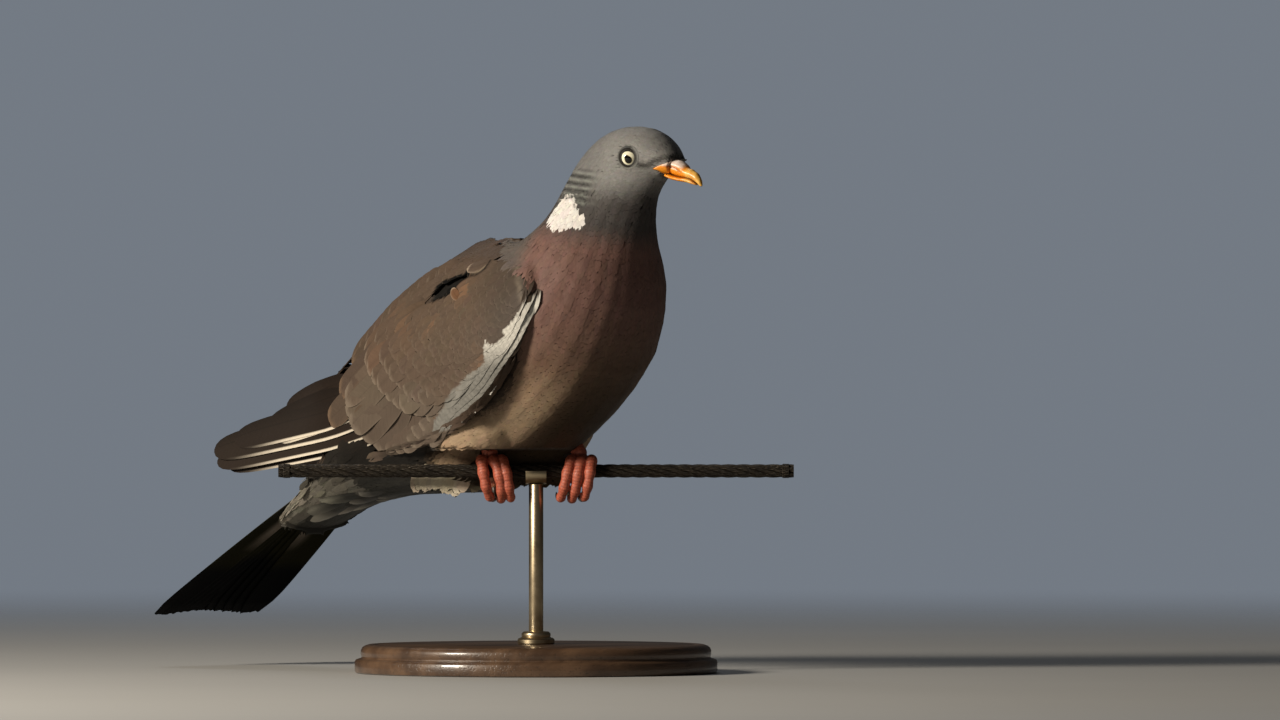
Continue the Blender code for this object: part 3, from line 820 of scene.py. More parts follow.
hide.coloured(hide.darkened(pores.fade(0.35, 0.7) * 0.45, hide.tint(), (0.55, 0.55, 0.55)))
hide.relief(pores, 0.00018, 0.6)
modified(skin, "DECIMATE", ratio=0.86)  # the flat places only: the lids keep their folds
settle(skin, "skin_whole", hide, "breast_feathers", *FLESH)

# The eyes: glassy balls with a pale cream iris and a black pupil drawn down and forward, set in
# the lids. The pattern lies on a flat map square to the eye's own axis.

glassy = Finish("bird_eye", Roughness=0.10, Coat_Weight=0.35, Coat_Roughness=0.02, Specular_IOR_Level=0.35)
ahead, above, _ = glassy.parts(glassy.node("UVMap", {"uv_map": "face"}))
above = above + 0.65
reach = (ahead * ahead + above * above) ** 0.5
pupil_ahead, pupil_above = ahead - 0.42, above + 0.58
pupil = (pupil_ahead * pupil_ahead + pupil_above * pupil_above) ** 0.5 - 1.72
lobe_ahead, lobe_above = ahead + 0.28, above - 0.50
lobe = (lobe_ahead * lobe_ahead + lobe_above * lobe_above) ** 0.5 - 1.15
pupil = pupil.maths("SMOOTH_MIN", lobe, 0.7)
spoke = glassy.joined(ahead / (reach + 0.3) * 5, above / (reach + 0.3) * 5, reach * 0.5)
rays = glassy.noise(spoke, 1.6, 3.0)
iris = glassy.mix(rays.fade(0.35, 0.7), (0.94, 0.92, 0.74), (0.82, 0.77, 0.54))
iris = glassy.mix((reach + rays * 0.2).fade(3.45, 3.7), iris, (0.020, 0.017, 0.012))
iris = glassy.mix((pupil + rays * 0.15).fade(0.05, 0.45), (0.40, 0.33, 0.16), iris)
glassy.coloured(glassy.mix(pupil.fade(-0.05, 0.07), (0.003, 0.003, 0.003), iris))
SIDES = ((-1, "right"), (1, "left"))
for side, word in SIDES:
    axis = Vector((side * math.cos(EYE_FORWARD), -math.sin(EYE_FORWARD), -0.04)).normalized()
    bpy.ops.mesh.primitive_uv_sphere_add(segments=64, ring_count=48, radius=EYE_RADIUS / 1000)
    ball = bpy.context.object
    ball.data.transform(axis.to_track_quat("Z", "Y").to_matrix().to_4x4())
    where = numbers(ball.data)
    along_axis = where @ np.array(axis) * 1000
    where *= 1 + 0.035 * fade(along_axis, 4.2, 5.6)[:, None]
    flat = where * 1000 - along_axis[:, None] * np.array(axis)
    before = np.cross(np.array([0, 0, 1.0]), np.array(axis))
    before = before / np.linalg.norm(before) * side
    before = before if before[1] < 0 else -before
    ring = np.stack([flat @ before, flat[:, 2]], 1)
    put_at(ball.data, where + model_place(*EYE_CENTRE[:2], side * EYE_CENTRE[2]))
    give_uv(ball.data, "face", ring[corners_of(ball.data)])
    bpy.ops.object.shade_smooth()
    settle(ball, "eyeball_" + word, glassy, "eye", "eye_" + word)

# The bill: horn in two halves. The upper one has a pale swollen cere over its base, orange sides
# with a nostril slit under the cere, and a hooked yellow-horn tip.

horn = Finish("bill_horn", Roughness=0.38, Coat_Weight=0.25, Coat_Roughness=0.3)
fibre = horn.noise(horn.stretched((900, 220, 900)), 1.0, 3.0)
horn.coloured(horn.darkened(fibre.fade(0.35, 0.75) * 0.35, horn.tint(), (0.62, 0.45, 0.35)))
horn.relief(fibre, 0.0002, 0.4)
# height of the ridge, the parting and the under edge, and half the width, at these places along the bill
BILL_ALONG = [88, 92, 93.8, 97.0, 99.4, 101.2, 104.2, 107.5, 109.4, 110.5]
RIDGE_LINE = [149.0, 149.5, 149.6, 148.9, 147.4, 146.1, 145.4, 143.4, 141.2, 138.4]
PARTING = [144.8, 142.8, 142.2, 141.5, 141.2, 141.0, 140.2, 138.2, 136.8, 137.0]
UNDER_EDGE = [141.6, 140.2, 139.9, 139.3, 139.0, 138.8, 138.0, 137.4, 137.2, 137.2]
HALF_WIDE = [5.2, 4.8, 4.6, 4.2, 3.5, 3.0, 2.6, 2.15, 1.5, 0.8]
FLANGE_TOP = [(86.6, 145.6), (89.6, 147.0), (92.5, 148.2), (95.0, 149.2)]
FLANGE_LOW = [(86.6, 145.4), (87.8, 144.6), (89.3, 143.2), (91.5, 141.6)]


def reshaped(forward, up, out, top_line, low_line):
    """A half bill's places, moved so that its outline follows these lines."""
    edges = np.linspace(forward.min() - 0.01, forward.max() + 0.01, 22)
    cell = np.digitize(forward, edges) - 1
    centre = (edges[1:] + edges[:-1]) / 2
    high = np.array([up[cell == k].max() for k in range(21)])
    low = np.array([up[cell == k].min() for k in range(21)])
    wide = np.array([np.abs(out[cell == k]).max() for k in range(21)])
    top, bottom, half = (np.interp(forward, centre, line) for line in (high, low, wide))
    share = np.clip((up - bottom) / np.maximum(top - bottom, 0.05), 0, 1)
    new_top, new_low = np.interp(forward, BILL_ALONG, top_line), np.interp(forward, BILL_ALONG, low_line)
    new_out = out / np.maximum(half, 0.3) * np.interp(forward, BILL_ALONG, HALF_WIDE)
    return new_low + share * (new_top - new_low), new_out


def horn_colours(forward, up, parting):
    """Orange sides, a pale pinkish cere, a dark nostril line under it and a yellow tip."""
    below = np.interp(forward, BILL_ALONG, RIDGE_LINE) - up
    streak = np.sin(forward * 3.1 + up * 1.3) * 0.5 + 0.5
    cere = ((1 - fade(below + 0.30 * np.maximum(forward - 97, 0), 2.0, 3.0))
            * (1 - fade(forward, 99.0, 101.2)) * fade(forward, 90.5, 92.5))
    nostril = (bump(below - 0.10 * (forward - 96), 3.3, 0.55)
               * fade(forward, 91.5, 93.5) * (1 - fade(forward, 98.5, 100.5)))
    line = np.exp(-((up - parting) / 0.30) ** 2)
    colours = painted(np.tile([0.94, 0.335, 0.010], (len(forward), 1)),
                      (streak * 0.35, (0.86, 0.22, 0.006)),
                      (fade(forward + 0.25 * (146 - up), 100.8, 103.5), (0.88, 0.50, 0.10)),
                      (0.6 * bump(forward, 105.6, 1.5) * fade(below, 0.6, 2.2), (0.62, 0.20, 0.02)),
                      (cere, (0.90, 0.74, 0.64)),
                      (0.85 * nostril, (0.26, 0.060, 0.010)),
                      (0.85 * line, (0.16, 0.035, 0.006)))
    return colours, cere, nostril


for node in ("bill_upper", "bill_lower"):
    half_bill = merged_copy(node)
    modified(half_bill, "SUBSURF", levels=2, render_levels=2, use_limit_surface=False)
    modified(half_bill, "SMOOTH", factor=0.5, iterations=6)
    forward, up, out = bird_axes(numbers(half_bill.data))
    if node == "bill_upper":
        forward = 89.5 + (forward - forward.min()) / np.ptp(forward) * 21.0
        up, out = reshaped(forward, up, out, RIDGE_LINE, PARTING)
    else:
        forward = 88.5 + (forward - forward.min()) / np.ptp(forward) * 18.6
        up, out = reshaped(forward, up, out, np.array(PARTING) + 0.25, UNDER_EDGE)
        out = out * 0.90
    put_at(half_bill.data, model_place(forward, up, out))
    modified(half_bill, "SMOOTH", factor=0.5, iterations=2)
    places = numbers(half_bill.data)
    normal = numbers(half_bill.data, "vertex_normals", "vector")
    forward, up, out = bird_axes(places)
    colours, cere, nostril = horn_colours(forward, up, np.interp(forward, BILL_ALONG, PARTING))
    if node == "bill_upper":
        places = places + normal * ((0.45 * cere - 0.40 * nostril * (np.abs(out) > 1.2)) / 1000)[:, None]
    put_at(half_bill.data, places)
    give_tint(half_bill.data, colours)
    bpy.ops.object.shade_smooth()
    settle(half_bill, node + "_horn", horn, "bill", node)

# The bare orange corners of the mouth: a cushion on either cheek that runs from the bill's base
# back to a point, with the parting as a dark line along it.

for side, word in SIDES:
    top, low = smooth_line(np.array(FLANGE_TOP), 28), smooth_line(np.array(FLANGE_LOW), 28)
    rise = np.linspace(0, 1, 17)[:, None, None]
    grid = low[None] * (1 - rise) + top[None] * rise
    flat_places = model_place(grid[..., 0], grid[..., 1], side * 30.0).reshape(-1, 3)
    found = []
    for start in flat_places.tolist():
        hit = coat.tree.ray_cast(start, (-side, 0, 0))[0]
        found.append(hit if hit is not None else coat.tree.find_nearest((side * 0.004, *start[1:]))[0])
    found = np.array(found)
    normal = coat.at(found)[1]
    puffed = (np.sin(rise[..., 0] * math.pi) ** 0.6 * 0.75 - 0.25 + 0 * grid[..., 0])
    parting = np.interp(grid[..., 0], [86, *BILL_ALONG], [145.5, *PARTING])
    groove = np.exp(-((grid[..., 1] - parting) / 0.35) ** 2)
    found = found + normal * ((puffed - 0.35 * groove).ravel() / 1000)[:, None]
    mesh = bpy.data.meshes.new("mouth_corner")
    first = [r * 28 + c for r in range(16) for c in range(27)]
    quads = [(k, k + 1, k + 29, k + 28)[::-side] for k in first]
    mesh.from_pydata(found.tolist(), [], quads)
    corner_piece = as_piece("mouth_corner", mesh)
    colours, _, _ = horn_colours(grid[..., 0].ravel(), grid[..., 1].ravel(), parting.ravel())
    edge_dark = (1 - fade(np.abs(rise[..., 0] - 0.5) + 0 * grid[..., 0], 0.40, 0.49)).ravel()
    give_tint(mesh, blend(colours, (1 - edge_dark) * 0.8, (0.10, 0.028, 0.008)))
    work_on(corner_piece)
    bpy.ops.object.shade_smooth()
    modified(corner_piece, "SOLIDIFY", thickness=0.0008, offset=-1.0)
    settle(corner_piece, "mouth_corner_" + word, horn, "bill")

# The contour feathers: soft vanes rooted in the skin, each with a centre line that follows the
# body's surface backwards and rises from the skin to lie over the roots of the next. They are
# smallest round the bill and eyes and largest on the flanks.

COAT_RNG = np.random.default_rng(7)
SOFT = {"rows": [0, 0.22, 0.46, 0.72, 0.91, 1], "wide": [0.35, 0.82, 1, 0.94, 0.62, 0.16],
        "cols": [-1, -0.5, 0, 0.5, 1], "pull": 0.06, "rise": 8.0}


def unit(vectors):
    return vectors / np.maximum(np.linalg.norm(vectors, axis=-1, keepdims=True), 1e-12)


def along(vectors, normal):
    """The part of each vector that lies in the surface, at length one."""
    return unit(vectors - (vectors * normal).sum(-1, keepdims=True) * normal)


def backwards(places, normal):
    """The lie of the coat: from the bill back along the body's midline."""
    way = midline_way[nearest_station(places)]
    forward, up, out = bird_axes(places)
    lie = np.stack([np.zeros(len(way)), -way[:, 0], way[:, 1]], 1)
    spread = np.clip((forward - 70) / 30, 0, 1)[:, None]
    fan = np.stack([out, np.zeros(len(way)), up - 147], 1) / 18
    return along(lie + fan * spread * 0.9, normal)


HEADING_KEPT = 0.6  # how far a feather keeps its own heading at a step, from 0 to 1


def walk(surface, roots, heading, lengths, rows):
    """Centre lines over a surface: places and normals, one row of each for every share of the length."""
    place, normal = surface.at(roots)
    way = heading(place, normal)
    line, ups = [place], [normal]
    for step in np.diff(rows):
        reach = (lengths * step)[:, None]
        ahead = place + way * reach
        found, up_here = surface.at(ahead)
        turned_by = (up_here * normal).sum(1)
        off = np.linalg.norm(found - ahead, axis=1)
        stays = ((turned_by > 0.7) & (off < 0.45 * reach[:, 0]))[:, None]
        place = np.where(stays, found, ahead)
        normal = np.where(stays, up_here, normal)
        way = along(along(way, normal) * HEADING_KEPT + heading(place, normal) * (1 - HEADING_KEPT), normal)
        line.append(place)
        ups.append(normal)
    return np.array(line), np.array(ups)


def vanes(name, line, ups, half, sink, tint, shape, curve, draws, lift=0.0001, lean=0.0, tilt=0.0,
          edge=None, ragged=0.012, atlas=None, level=0.0, crown=1.25, paint=None):
    """One mesh of feathers: line and ups from walk(), half widths, how deep each root lies, a colour
    for each feather, the outline, the surface's radius under it, and how much a vane's face is crowned."""
    rows, count = line.shape[:2]
    way = unit(np.gradient(line, axis=0))
    across = unit(np.cross(ups, way))
    length = np.linalg.norm(np.diff(line, axis=0), axis=2).sum(0)
    half, sink, curve, lift, tilt, level, length = (np.broadcast_to(each, (count,))[:, None, None] for each in
                                                    (half, sink, curve, lift, tilt, level, length))
    share, wide, cols = (np.array(shape[key], float) for key in ("rows", "wide", "cols"))
    share, wide, per_row = share[None, :, None], wide[None, :, None], len(cols)
    off = (cols - lean * (1 - np.abs(cols))) * wide
    shift = off * half
    ripple = draws.normal(0, ragged, (count, rows, per_row)) * fade(share, 0.45, 1)
    back = -shape["pull"] * cols ** 2 * share + ripple
    rise = -sink * (1 - share) ** shape["rise"] - shift ** 2 / (2 * curve)
    rise = rise + lift * share ** 3 + tilt * shift + level * (1 - 0.55 * share)
    middle, beside, behind, above = (each.transpose(1, 0, 2)[:, :, None] for each in (line, across, way, ups))
    spots = middle + beside * shift[..., None] + behind * (back * length)[..., None] + above * rise[..., None]
    size = rows * per_row
    first = np.array([r * per_row + c for r in range(rows - 1) for c in range(per_row - 1)])
    quad = np.stack([first, first + per_row, first + per_row + 1, first + 1], 1)
    faces = (np.arange(count)[:, None, None] * size + quad[None]).reshape(-1, 4)
    mesh = bpy.data.meshes.new(name)
    mesh.vertices.add(count * size)
    mesh.vertices.foreach_set("co", spots.astype(np.float32).ravel())
    mesh.loops.add(faces.size)
    mesh.loops.foreach_set("vertex_index", faces.astype(np.int32).ravel())
    mesh.polygons.add(len(faces))
    mesh.polygons.foreach_set("loop_start", np.arange(0, faces.size, 4, dtype=np.int32))
    mesh.update(calc_edges=True)
    mesh.polygons.foreach_set("use_smooth", np.ones(len(faces), bool))
    if crown:
        facing = unit(above + beside * (shift / curve * crown - tilt)[..., None])
        mesh.normals_split_custom_set_from_vertices(facing.reshape(-1, 3).tolist())
    colours = np.broadcast_to(tint[:, None, None, :], (count, rows, per_row, 3)).copy()
    if paint is not None:
        colours = paint(colours, spots)
    if edge is not None:
        colours = edge(colours, share, cols[None, None], shift * 1000, length * 1000)
    give_tint(mesh, colours.reshape(-1, 3))
    barbs = np.stack([shift * 100 + 0 * back + 9 * draws.integers(0, 40, count)[:, None, None],
                      (share + back) * length * 100 + 0 * shift], -1)
    give_uv(mesh, "barbs", barbs.reshape(-1, 2)[faces.ravel()])
    if atlas is None:  # each vane's map lies where its root is in the skin's own map
        root = unwrap(line[0])
        root = 0.004 + 0.992 * (root - root.min(0)) / (root.max(0) - root.min(0))
        patch = np.stack([off * 0.0015 + 0 * back, (share - 0.5) * 0.003 + 0 * back], -1)
        patch = patch + root[:, None, None]
    else:  # the vanes' maps lie side by side, so many to a row
        column, row = (each[:, None, None] for each in (np.arange(count) % atlas, np.arange(count) // atlas))
        patch = np.stack([(column + 0.5 + 0.44 * off) / atlas + 0 * back,
                          (row + 0.04 + 0.92 * share) / math.ceil(count / atlas) + 0 * back], -1)
    give_uv(mesh, "OFBake", patch.reshape(-1, 2)[faces.ravel()])
    return as_piece(name, mesh)


def plume(name, fine, contrast, rough, sheen, slant=0.9, gloss=0.28):
    """A feather finish: each vane's own colour, streaked along its barbs and softly ridged."""
    made = Finish(name, Roughness=rough, Specular_IOR_Level=gloss, Sheen_Weight=sheen, Sheen_Roughness=0.45)
    over, length, _ = made.parts(made.node("UVMap", {"uv_map": "barbs"}))
    side = ((over + 4.5) / 9).maths("FRACT") * 9 - 4.5
    slope = length * (1 / slant) ** 0.5 - side.maths("ABSOLUTE") * slant ** 0.5
    streak = made.noise(made.joined(slope * fine, over * fine * 0.16), 1.0, 2.5, 0.6)
    hair = made.noise(made.joined(slope * fine * 4.2, over * fine * 0.5), 1.0, 1.0)
    shade = (streak - 0.5) * contrast * 2 + (hair - 0.5) * contrast + 1
    made.coloured(made.mix(1.0, made.tint(), made.joined(shade, shade, shade), "MULTIPLY"))
    made.relief(streak * 0.6 + hair * 0.4, 0.00025, 0.55)
    return made


down = plume("soft_barbs", 9.0, 0.26, 0.62, 0.06, slant=2.4, gloss=0.2)


def varied(colours, draws, light=0.07, hue=0.025):
    """Each feather a little lighter or darker, warmer or cooler than the next."""
    each = 1 + draws.normal(0, light, (len(colours), 1)) + draws.normal(0, hue, (len(colours), 3))
    return colours * np.clip(each, 0.6, 1.5)


def soft_edge(colours, share, cols, shift, length):
    """A vane's rim: a touch paler at the tip, with the base darker, partly its own grey down and partly
    painted shade from those above it.
    """
    return colours * (0.94 + 0.09 * fade(share, 0.35, 0.95))[..., None]


RIDGE_GAP, RIDGE_HIGH = 3.5, 0.00042


def on_ridges(forward, up):
    """The phase of the level ridges on the nape, a turn for each ridge."""
    return 2 * math.pi * (up + 0.10 * (forward - 50)) / RIDGE_GAP


def nape_paint(colours, spots):
    """Pale grey-green crests, partly the neck's own gloss and partly painted sheen, and dark furrows of
    painted shade on the nape.
    """
    forward, up, _ = bird_axes(spots)
    patch = inside(forward, up, NECK_PATCH)
    ridge = ridge_share(forward, up) * ~patch
    crest = np.cos(on_ridges(forward, up))
    uneven = 0.65 + 0.35 * np.sin(forward * 0.9 + up * 1.7)
    # painted sheen: the crests pale grey-green, partly the neck's own green gloss
    colours = blend(colours, ridge * fade(crest, 0.2, 0.95) * 0.65 * uneven, (0.235, 0.262, 0.232))
    # painted shade: the furrows between the ridges near black
    return blend(colours, ridge * fade(-crest, -0.3, 0.7) * 0.85, (0.018, 0.020, 0.018))


def contour(name, keep, spacing, stretch, plump, finish, slot, edge=soft_edge, crown=1.2, colour=body_colour,
            stray=0.0012):
    """Scatters, walks and builds one tract of contour feathers, without those that stray off the body."""
    roots = coat.scattered(spacing / 1000, keep, COAT_RNG)
    forward, up, out = bird_axes(roots)
    rho, height, _, _ = lids(roots)
    face = fade(forward, 66, 90)
    small = (1 - 0.40 * face) * np.where(height > 0, 0.62 + 0.38 * fade(rho, 6, 14), 1)
    lengths = spacing * stretch * small ** 0.6 * COAT_RNG.uniform(0.88, 1.15, len(roots)) / 1000
    line, ups = walk(coat, roots, backwards, lengths, SOFT["rows"])
    lies = np.linalg.norm(coat.at(line[-1])[0] - line[-1], axis=1) < stray
    roots, lengths, line, ups, small = roots[lies], lengths[lies], line[:, lies], ups[:, lies], small[lies]
    half = spacing * plump * small ** 0.3 * COAT_RNG.uniform(0.9, 1.12, len(roots)) / 1000
    shown = line[-2]
    colours = colour(shown)
    forward, up, out = bird_axes(shown)
    patch = inside(forward, up, NECK_PATCH)
    colours[patch] = (0.72, 0.69, 0.66)
    colours = varied(colours, COAT_RNG, 0.045, 0.018)
    forward, up, _ = bird_axes(line)
    ridge = ridge_share(forward, up) * ~inside(forward, up, NECK_PATCH)
    turn = on_ridges(forward, up)
    line = line + ups * (ridge * RIDGE_HIGH * (np.cos(turn) - 0.6))[..., None]
    slope = ridge * RIDGE_HIGH * np.sin(turn) * 2 * math.pi / (RIDGE_GAP / 1000)
    ups = unit(ups + slope[..., None] * np.array([0, 0, 1.0]))
    sink = coat_depth(roots, np.full(len(roots), "")) + 0.0002
    radius = np.interp(bird_axes(roots)[1], [20, 100, 125, 145], [0.034, 0.034, 0.022, 0.015])
    lift = 0.00001 + 0.00004 * COAT_RNG.random(len(roots))
    piece = vanes(name, line, ups, half, sink, colours, SOFT, radius, COAT_RNG, lift, edge=edge, crown=crown,
                  paint=nape_paint)
    return settle(piece, name, finish, slot)


def body_only(test):
    """A test for roots on the body itself, clear of the bare ring round each eye, the bill and the grip."""
    def passes(places):
        rho, height, _, _ = lids(places)
        kinds = labelled(places)
        flesh_here = ~np.char.startswith(kinds, "wing") & ~np.char.startswith(kinds, "tail")
        forward, up, out = bird_axes(places)
        from_rope = np.linalg.norm(np.cross(places - np.array(PERCH), np.array(ROPE_WAY)), axis=1)
        bare = (height > 0) & (rho < 5.9) | inside(forward, up, BILL_GAPE) | (from_rope < 0.0085)
        return flesh_here & ~bare & test(forward, up, out)
    return passes


def head_part(forward, up, out):
    return up + 0.1 * (forward - 60) > 136


def neck_part(forward, up, out):
    return ~head_part(forward, up, out) & (up + 0.18 * (forward - 45) > 110)


def trunk_part(forward, up, out):
    return ~head_part(forward, up, out) & ~neck_part(forward, up, out)


def vent_part(forward, up, out):
    return (forward < -88) & (up < 0.55 * (forward + 88) + 12)


def face_part(forward, up, out):
    return head_part(forward, up, out) & (forward > 71)


def crown_part(forward, up, out):
    return head_part(forward, up, out) & ~face_part(forward, up, out)


def breast_part(forward, up, out):
    return trunk_part(forward, up, out) & (forward > 0)


def flank_part(forward, up, out):
    return trunk_part(forward, up, out) & (forward <= 0) & ~vent_part(forward, up, out)


contour("face_feathers", body_only(face_part), 0.78, 4.6, 0.80, down, "head_feathers", crown=1.1)
contour("head_feathers", body_only(crown_part), 0.95, 4.4, 0.78, down, "head_feathers", crown=1.1)
contour("neck_feathers", body_only(neck_part), 1.35, 4.8, 0.86, down, "head_feathers")
contour("breast_feathers", body_only(breast_part), 1.75, 6.0, 0.90, down, "breast_feathers")
contour("flank_feathers", body_only(flank_part), 2.1, 5.6, 0.88, down, "breast_feathers")
contour("vent_feathers", body_only(vent_part), 3.3, 4.4, 0.82, down, "breast_feathers", stray=0.002)

# The wings, folded: each is a stack of firm vanes, with the long flight feathers lowest and
# rows of coverts over them that get smaller towards the front edge. A white band runs down that
# edge, shoulder feathers close the top, and two loose feathers curl at the slit behind them.

WING_RNG = np.random.default_rng(19)
COVERT = {"rows": [0, 0.15, 0.3, 0.45, 0.6, 0.72, 0.82, 0.90, 0.96, 1],
          "wide": [0.3, 0.6, 0.85, 0.97, 1, 0.98, 0.90, 0.73, 0.50, 0.15],
          "cols": [-1, -0.92, -0.6, -0.3, 0, 0.3, 0.6, 0.92, 1], "pull": 0.0, "rise": 3.0}
REMEX = {"rows": [0, 0.07, 0.14, 0.21, 0.28, 0.35, 0.42, 0.49, 0.56,
                  0.63, 0.70, 0.76, 0.82, 0.88, 0.93, 0.965, 0.988, 1],
         "wide": [0.3, 0.5, 0.68, 0.82, 0.92, 0.98, 1, 1, 1,
                  0.99, 0.98, 0.96, 0.93, 0.87, 0.76, 0.60, 0.38, 0.10],
         "cols": [-1, -0.90, -0.6, -0.3, -0.06, 0, 0.06, 0.3, 0.6, 0.90, 1], "pull": 0.0, "rise": 2.0}
SHOULDER_RIM = np.array([(-2, 109), (8, 106.5), (17, 102.9), (27, 98), (33, 90), (36, 83)], float)
# no feather of the side view starts above this line: its places forward, and their heights
WING_TOP = ([-140, -96, -35, -13, 20], [41, 64, 95.5, 100.5, 101.5])
SPREAD_OUT = 110.0  # millimetres out from the midline, clear of either wing

firm = plume("firm_barbs", 6.0, 0.18, 0.55, 0.02, gloss=0.16)


def cast(surface, forward, up, side):
    """The places on a wing that lie straight out from these places of its side view."""
    starts = model_place(forward, up, side * SPREAD_OUT)
    found, sure = [], []
    for start in starts.tolist():
        hit, normal = surface.tree.ray_cast(start, (-side, 0, 0))[:2]
        found.append(hit if hit is not None else surface.tree.find_nearest((side * 0.03, *start[1:]))[0])
        sure.append(hit is not None and normal.x * side > 0.22)
    found = np.array(found)
    found[:, 1:] = starts[:, 1:]
    return found, np.array(sure)


def lie_down(forward, up):
    """Degrees that a covert points below level."""
    near = 1 - fade(line_gap(forward, up, WING_EDGE), 2, 20)
    return 31 + 22 * near * fade(forward, -25, 15) - 6 * (1 - fade(forward, -110, -60))


def rim(tip, low, sides=0.0, pale=(0.21, 0.17, 0.13)):
    """A pale rim: so strong at the tip, and so strong along the lower edge, over a base darkened as painted
    shade from the feathers above.
    """
    def edge(colours, share, cols, shift, length):
        at_tip = fade(share + 0.06 * np.abs(cols), 0.93, 1.0) * tip
        at_edge = fade(cols * low, 0.86, 0.98) * sides * (1 - at_tip)
        shaft = 1 - 0.14 * (np.abs(cols) < 0.05) * (1 - fade(share, 0.9, 1.0))
        # painted shade: the base darker where the feathers above cover it
        shade = (0.84 + 0.16 * fade(share, 0.2, 0.6)) * shaft
        return blend(colours * shade[..., None], at_tip + at_edge, pale)
    return edge


def wing_paint(colours, spots):
    """The white band down the wing's front edge, darkened lower down as painted shade, the pale rim at the
    neck, and painted shade: a dark line round the islet at the slit and near black in the slit itself.
    """
    forward, up, _ = bird_axes(spots)
    streak = 0.86 + 0.14 * np.sin(forward * 2.3 + up * 1.1)
    band = inside(forward, up, WHITE_WING)
    # painted shade: the white band darkens towards its lower end
    band_streak_and_shade = streak * (0.36 + 0.64 * fade(up, 48, 66))
    colours = np.where(band[..., None], np.array((0.60, 0.58, 0.525)) * band_streak_and_shade[..., None], colours)
    islet = np.array(ISLET_LINE, float)
    rim_here, pale, ring = (np.exp(-(line_gap(forward, up, line) / wide) ** 2) for line, wide in (
        (SHOULDER_RIM, 1.2), (islet + (islet.mean(0) - islet) * 0.30, 0.7), (islet, 0.8)))
    # painted shadow: a dark ring round the raised islet feather
    colours = painted(colours, (rim_here * 0.4 * ~band, (0.25, 0.205, 0.155)),
                      (pale * 0.55, (0.30, 0.24, 0.17)), (ring * 0.95, (0.005, 0.004, 0.003)))
    # painted shade: the vanes near black within the slit
    return np.where(inside(forward, up, SLIT)[..., None], (0.002, 0.0015, 0.001), colours)


def cut_back(roots, tips, blocked):
    """Tips drawn back to where a feather would first cross a blocked place, and which are worth keeping."""
    shares = np.linspace(0, 1, 13)
    path = roots[None] + (tips - roots)[None] * shares[:, None, None]
    hit = blocked(path[..., 0], path[..., 1])
    first = np.where(hit.any(0), hit.argmax(0), 12)
    return roots + (tips - roots) * shares[first][:, None], first >= 4


def drawn(name, surface, side, roots, tips, halves, level, tint, shape, edge, bow=0.0, blocked=None,
          sink=0.0008, lift=0.0001, lean=0.0, tilt=0.03, curve=0.06, atlas=None, ragged=0.008, outward=0.35,
          paint=wing_paint, loose=False, misses=1):
    """One tract of wing feathers, drawn in the side view from roots to tips and laid on the surface."""
    roots, tips = np.asarray(roots, float), np.asarray(tips, float)
    halves = np.asarray(halves, float) + 0 * roots[:, 0]
    level = np.asarray(level, float) + 0 * roots[:, 0]
    if blocked is not None:
        tips, keep = cut_back(roots, tips, blocked)
        over = roots[:, 1] - np.interp(roots[:, 0], *WING_TOP)
        part = np.clip(1 - np.maximum(over, 0) / np.maximum(roots[:, 1] - tips[:, 1], 1), 0, 1)
        roots = tips + (roots - tips) * part[:, None]
        keep &= part > 0.35
        roots, tips, halves, level, tint = roots[keep], tips[keep], halves[keep], level[keep], tint[keep]
    share = np.array(shape["rows"])[:, None, None]
    run = tips - roots
    square = np.stack([-run[:, 1], run[:, 0]], 1) / np.linalg.norm(run, axis=1)[:, None]
    path = roots[None] + run[None] * share + square[None] * bow * 4 * share * (1 - share)
    rows, count = path.shape[:2]
    line, sure = cast(surface, path[..., 0].ravel(), path[..., 1].ravel(), side)
    line, sure = line.reshape(rows, count, 3), sure.reshape(rows, count)
    if not loose:
        step = np.linalg.norm(np.diff(line[..., 1:], axis=0), axis=2)
        leap = (np.abs(np.diff(line[..., 0], axis=0)) > 1.3 * step + 0.0003).any(0)
        keep = ((~sure).sum(0) <= misses) & ~leap & (sure[:2].all(0) | (path[0, :, 1] < 60))
        line, sure, halves, level, tint = line[:, keep], sure[:, keep], halves[keep], level[keep], tint[keep]
        count = int(keep.sum())
    else:
        on_arm = sure & (path[..., 0] > -108)
        for k in np.flatnonzero(~on_arm[-1]):
            last = np.flatnonzero(on_arm[:, k])[-1]
            beyond = np.linalg.norm(line[last:, k, 1:] - line[last, k, 1:], axis=1)
            line[last:, k, 0] = line[last, k, 0] - side * 0.13 * beyond
    for _ in range(2 * (rows // 6)):
        line[1:-1, :, 0] = 0.25 * line[:-2, :, 0] + 0.5 * line[1:-1, :, 0] + 0.25 * line[2:, :, 0]
    ups = surface.at(line.reshape(-1, 3))[1].reshape(rows, count, 3)
    ups = np.where(sure[..., None], unit(ups + (side * outward, 0, 0)), (side * 1.0, 0, 0.15))
    for _ in range(2):
        ups[1:-1] = unit(ups[:-2] + 2 * ups[1:-1] + ups[2:])
    piece = vanes(name, line, ups, halves / 1000, sink, tint, shape, curve, WING_RNG, lift, lean * -side,
                  tilt * -side, edge, ragged, atlas, level / 1000, crown=1.15, paint=paint)
    return settle(piece, name, firm, "wing_feathers")


def spaced(points, count):
    return smooth_line(np.array(points, float), count)


def back_from(tips, angles, lengths):
    """Roots, from the tips that a row of feathers should reach."""
    angles = np.radians(np.asarray(angles, float)) + 0 * tips[:, 0]
    return tips + np.stack([np.cos(angles), np.sin(angles)], 1) * np.asarray(lengths, float).reshape(-1, 1)


def in_slit_here(forward, up):
    return inside(forward, up, SLIT)


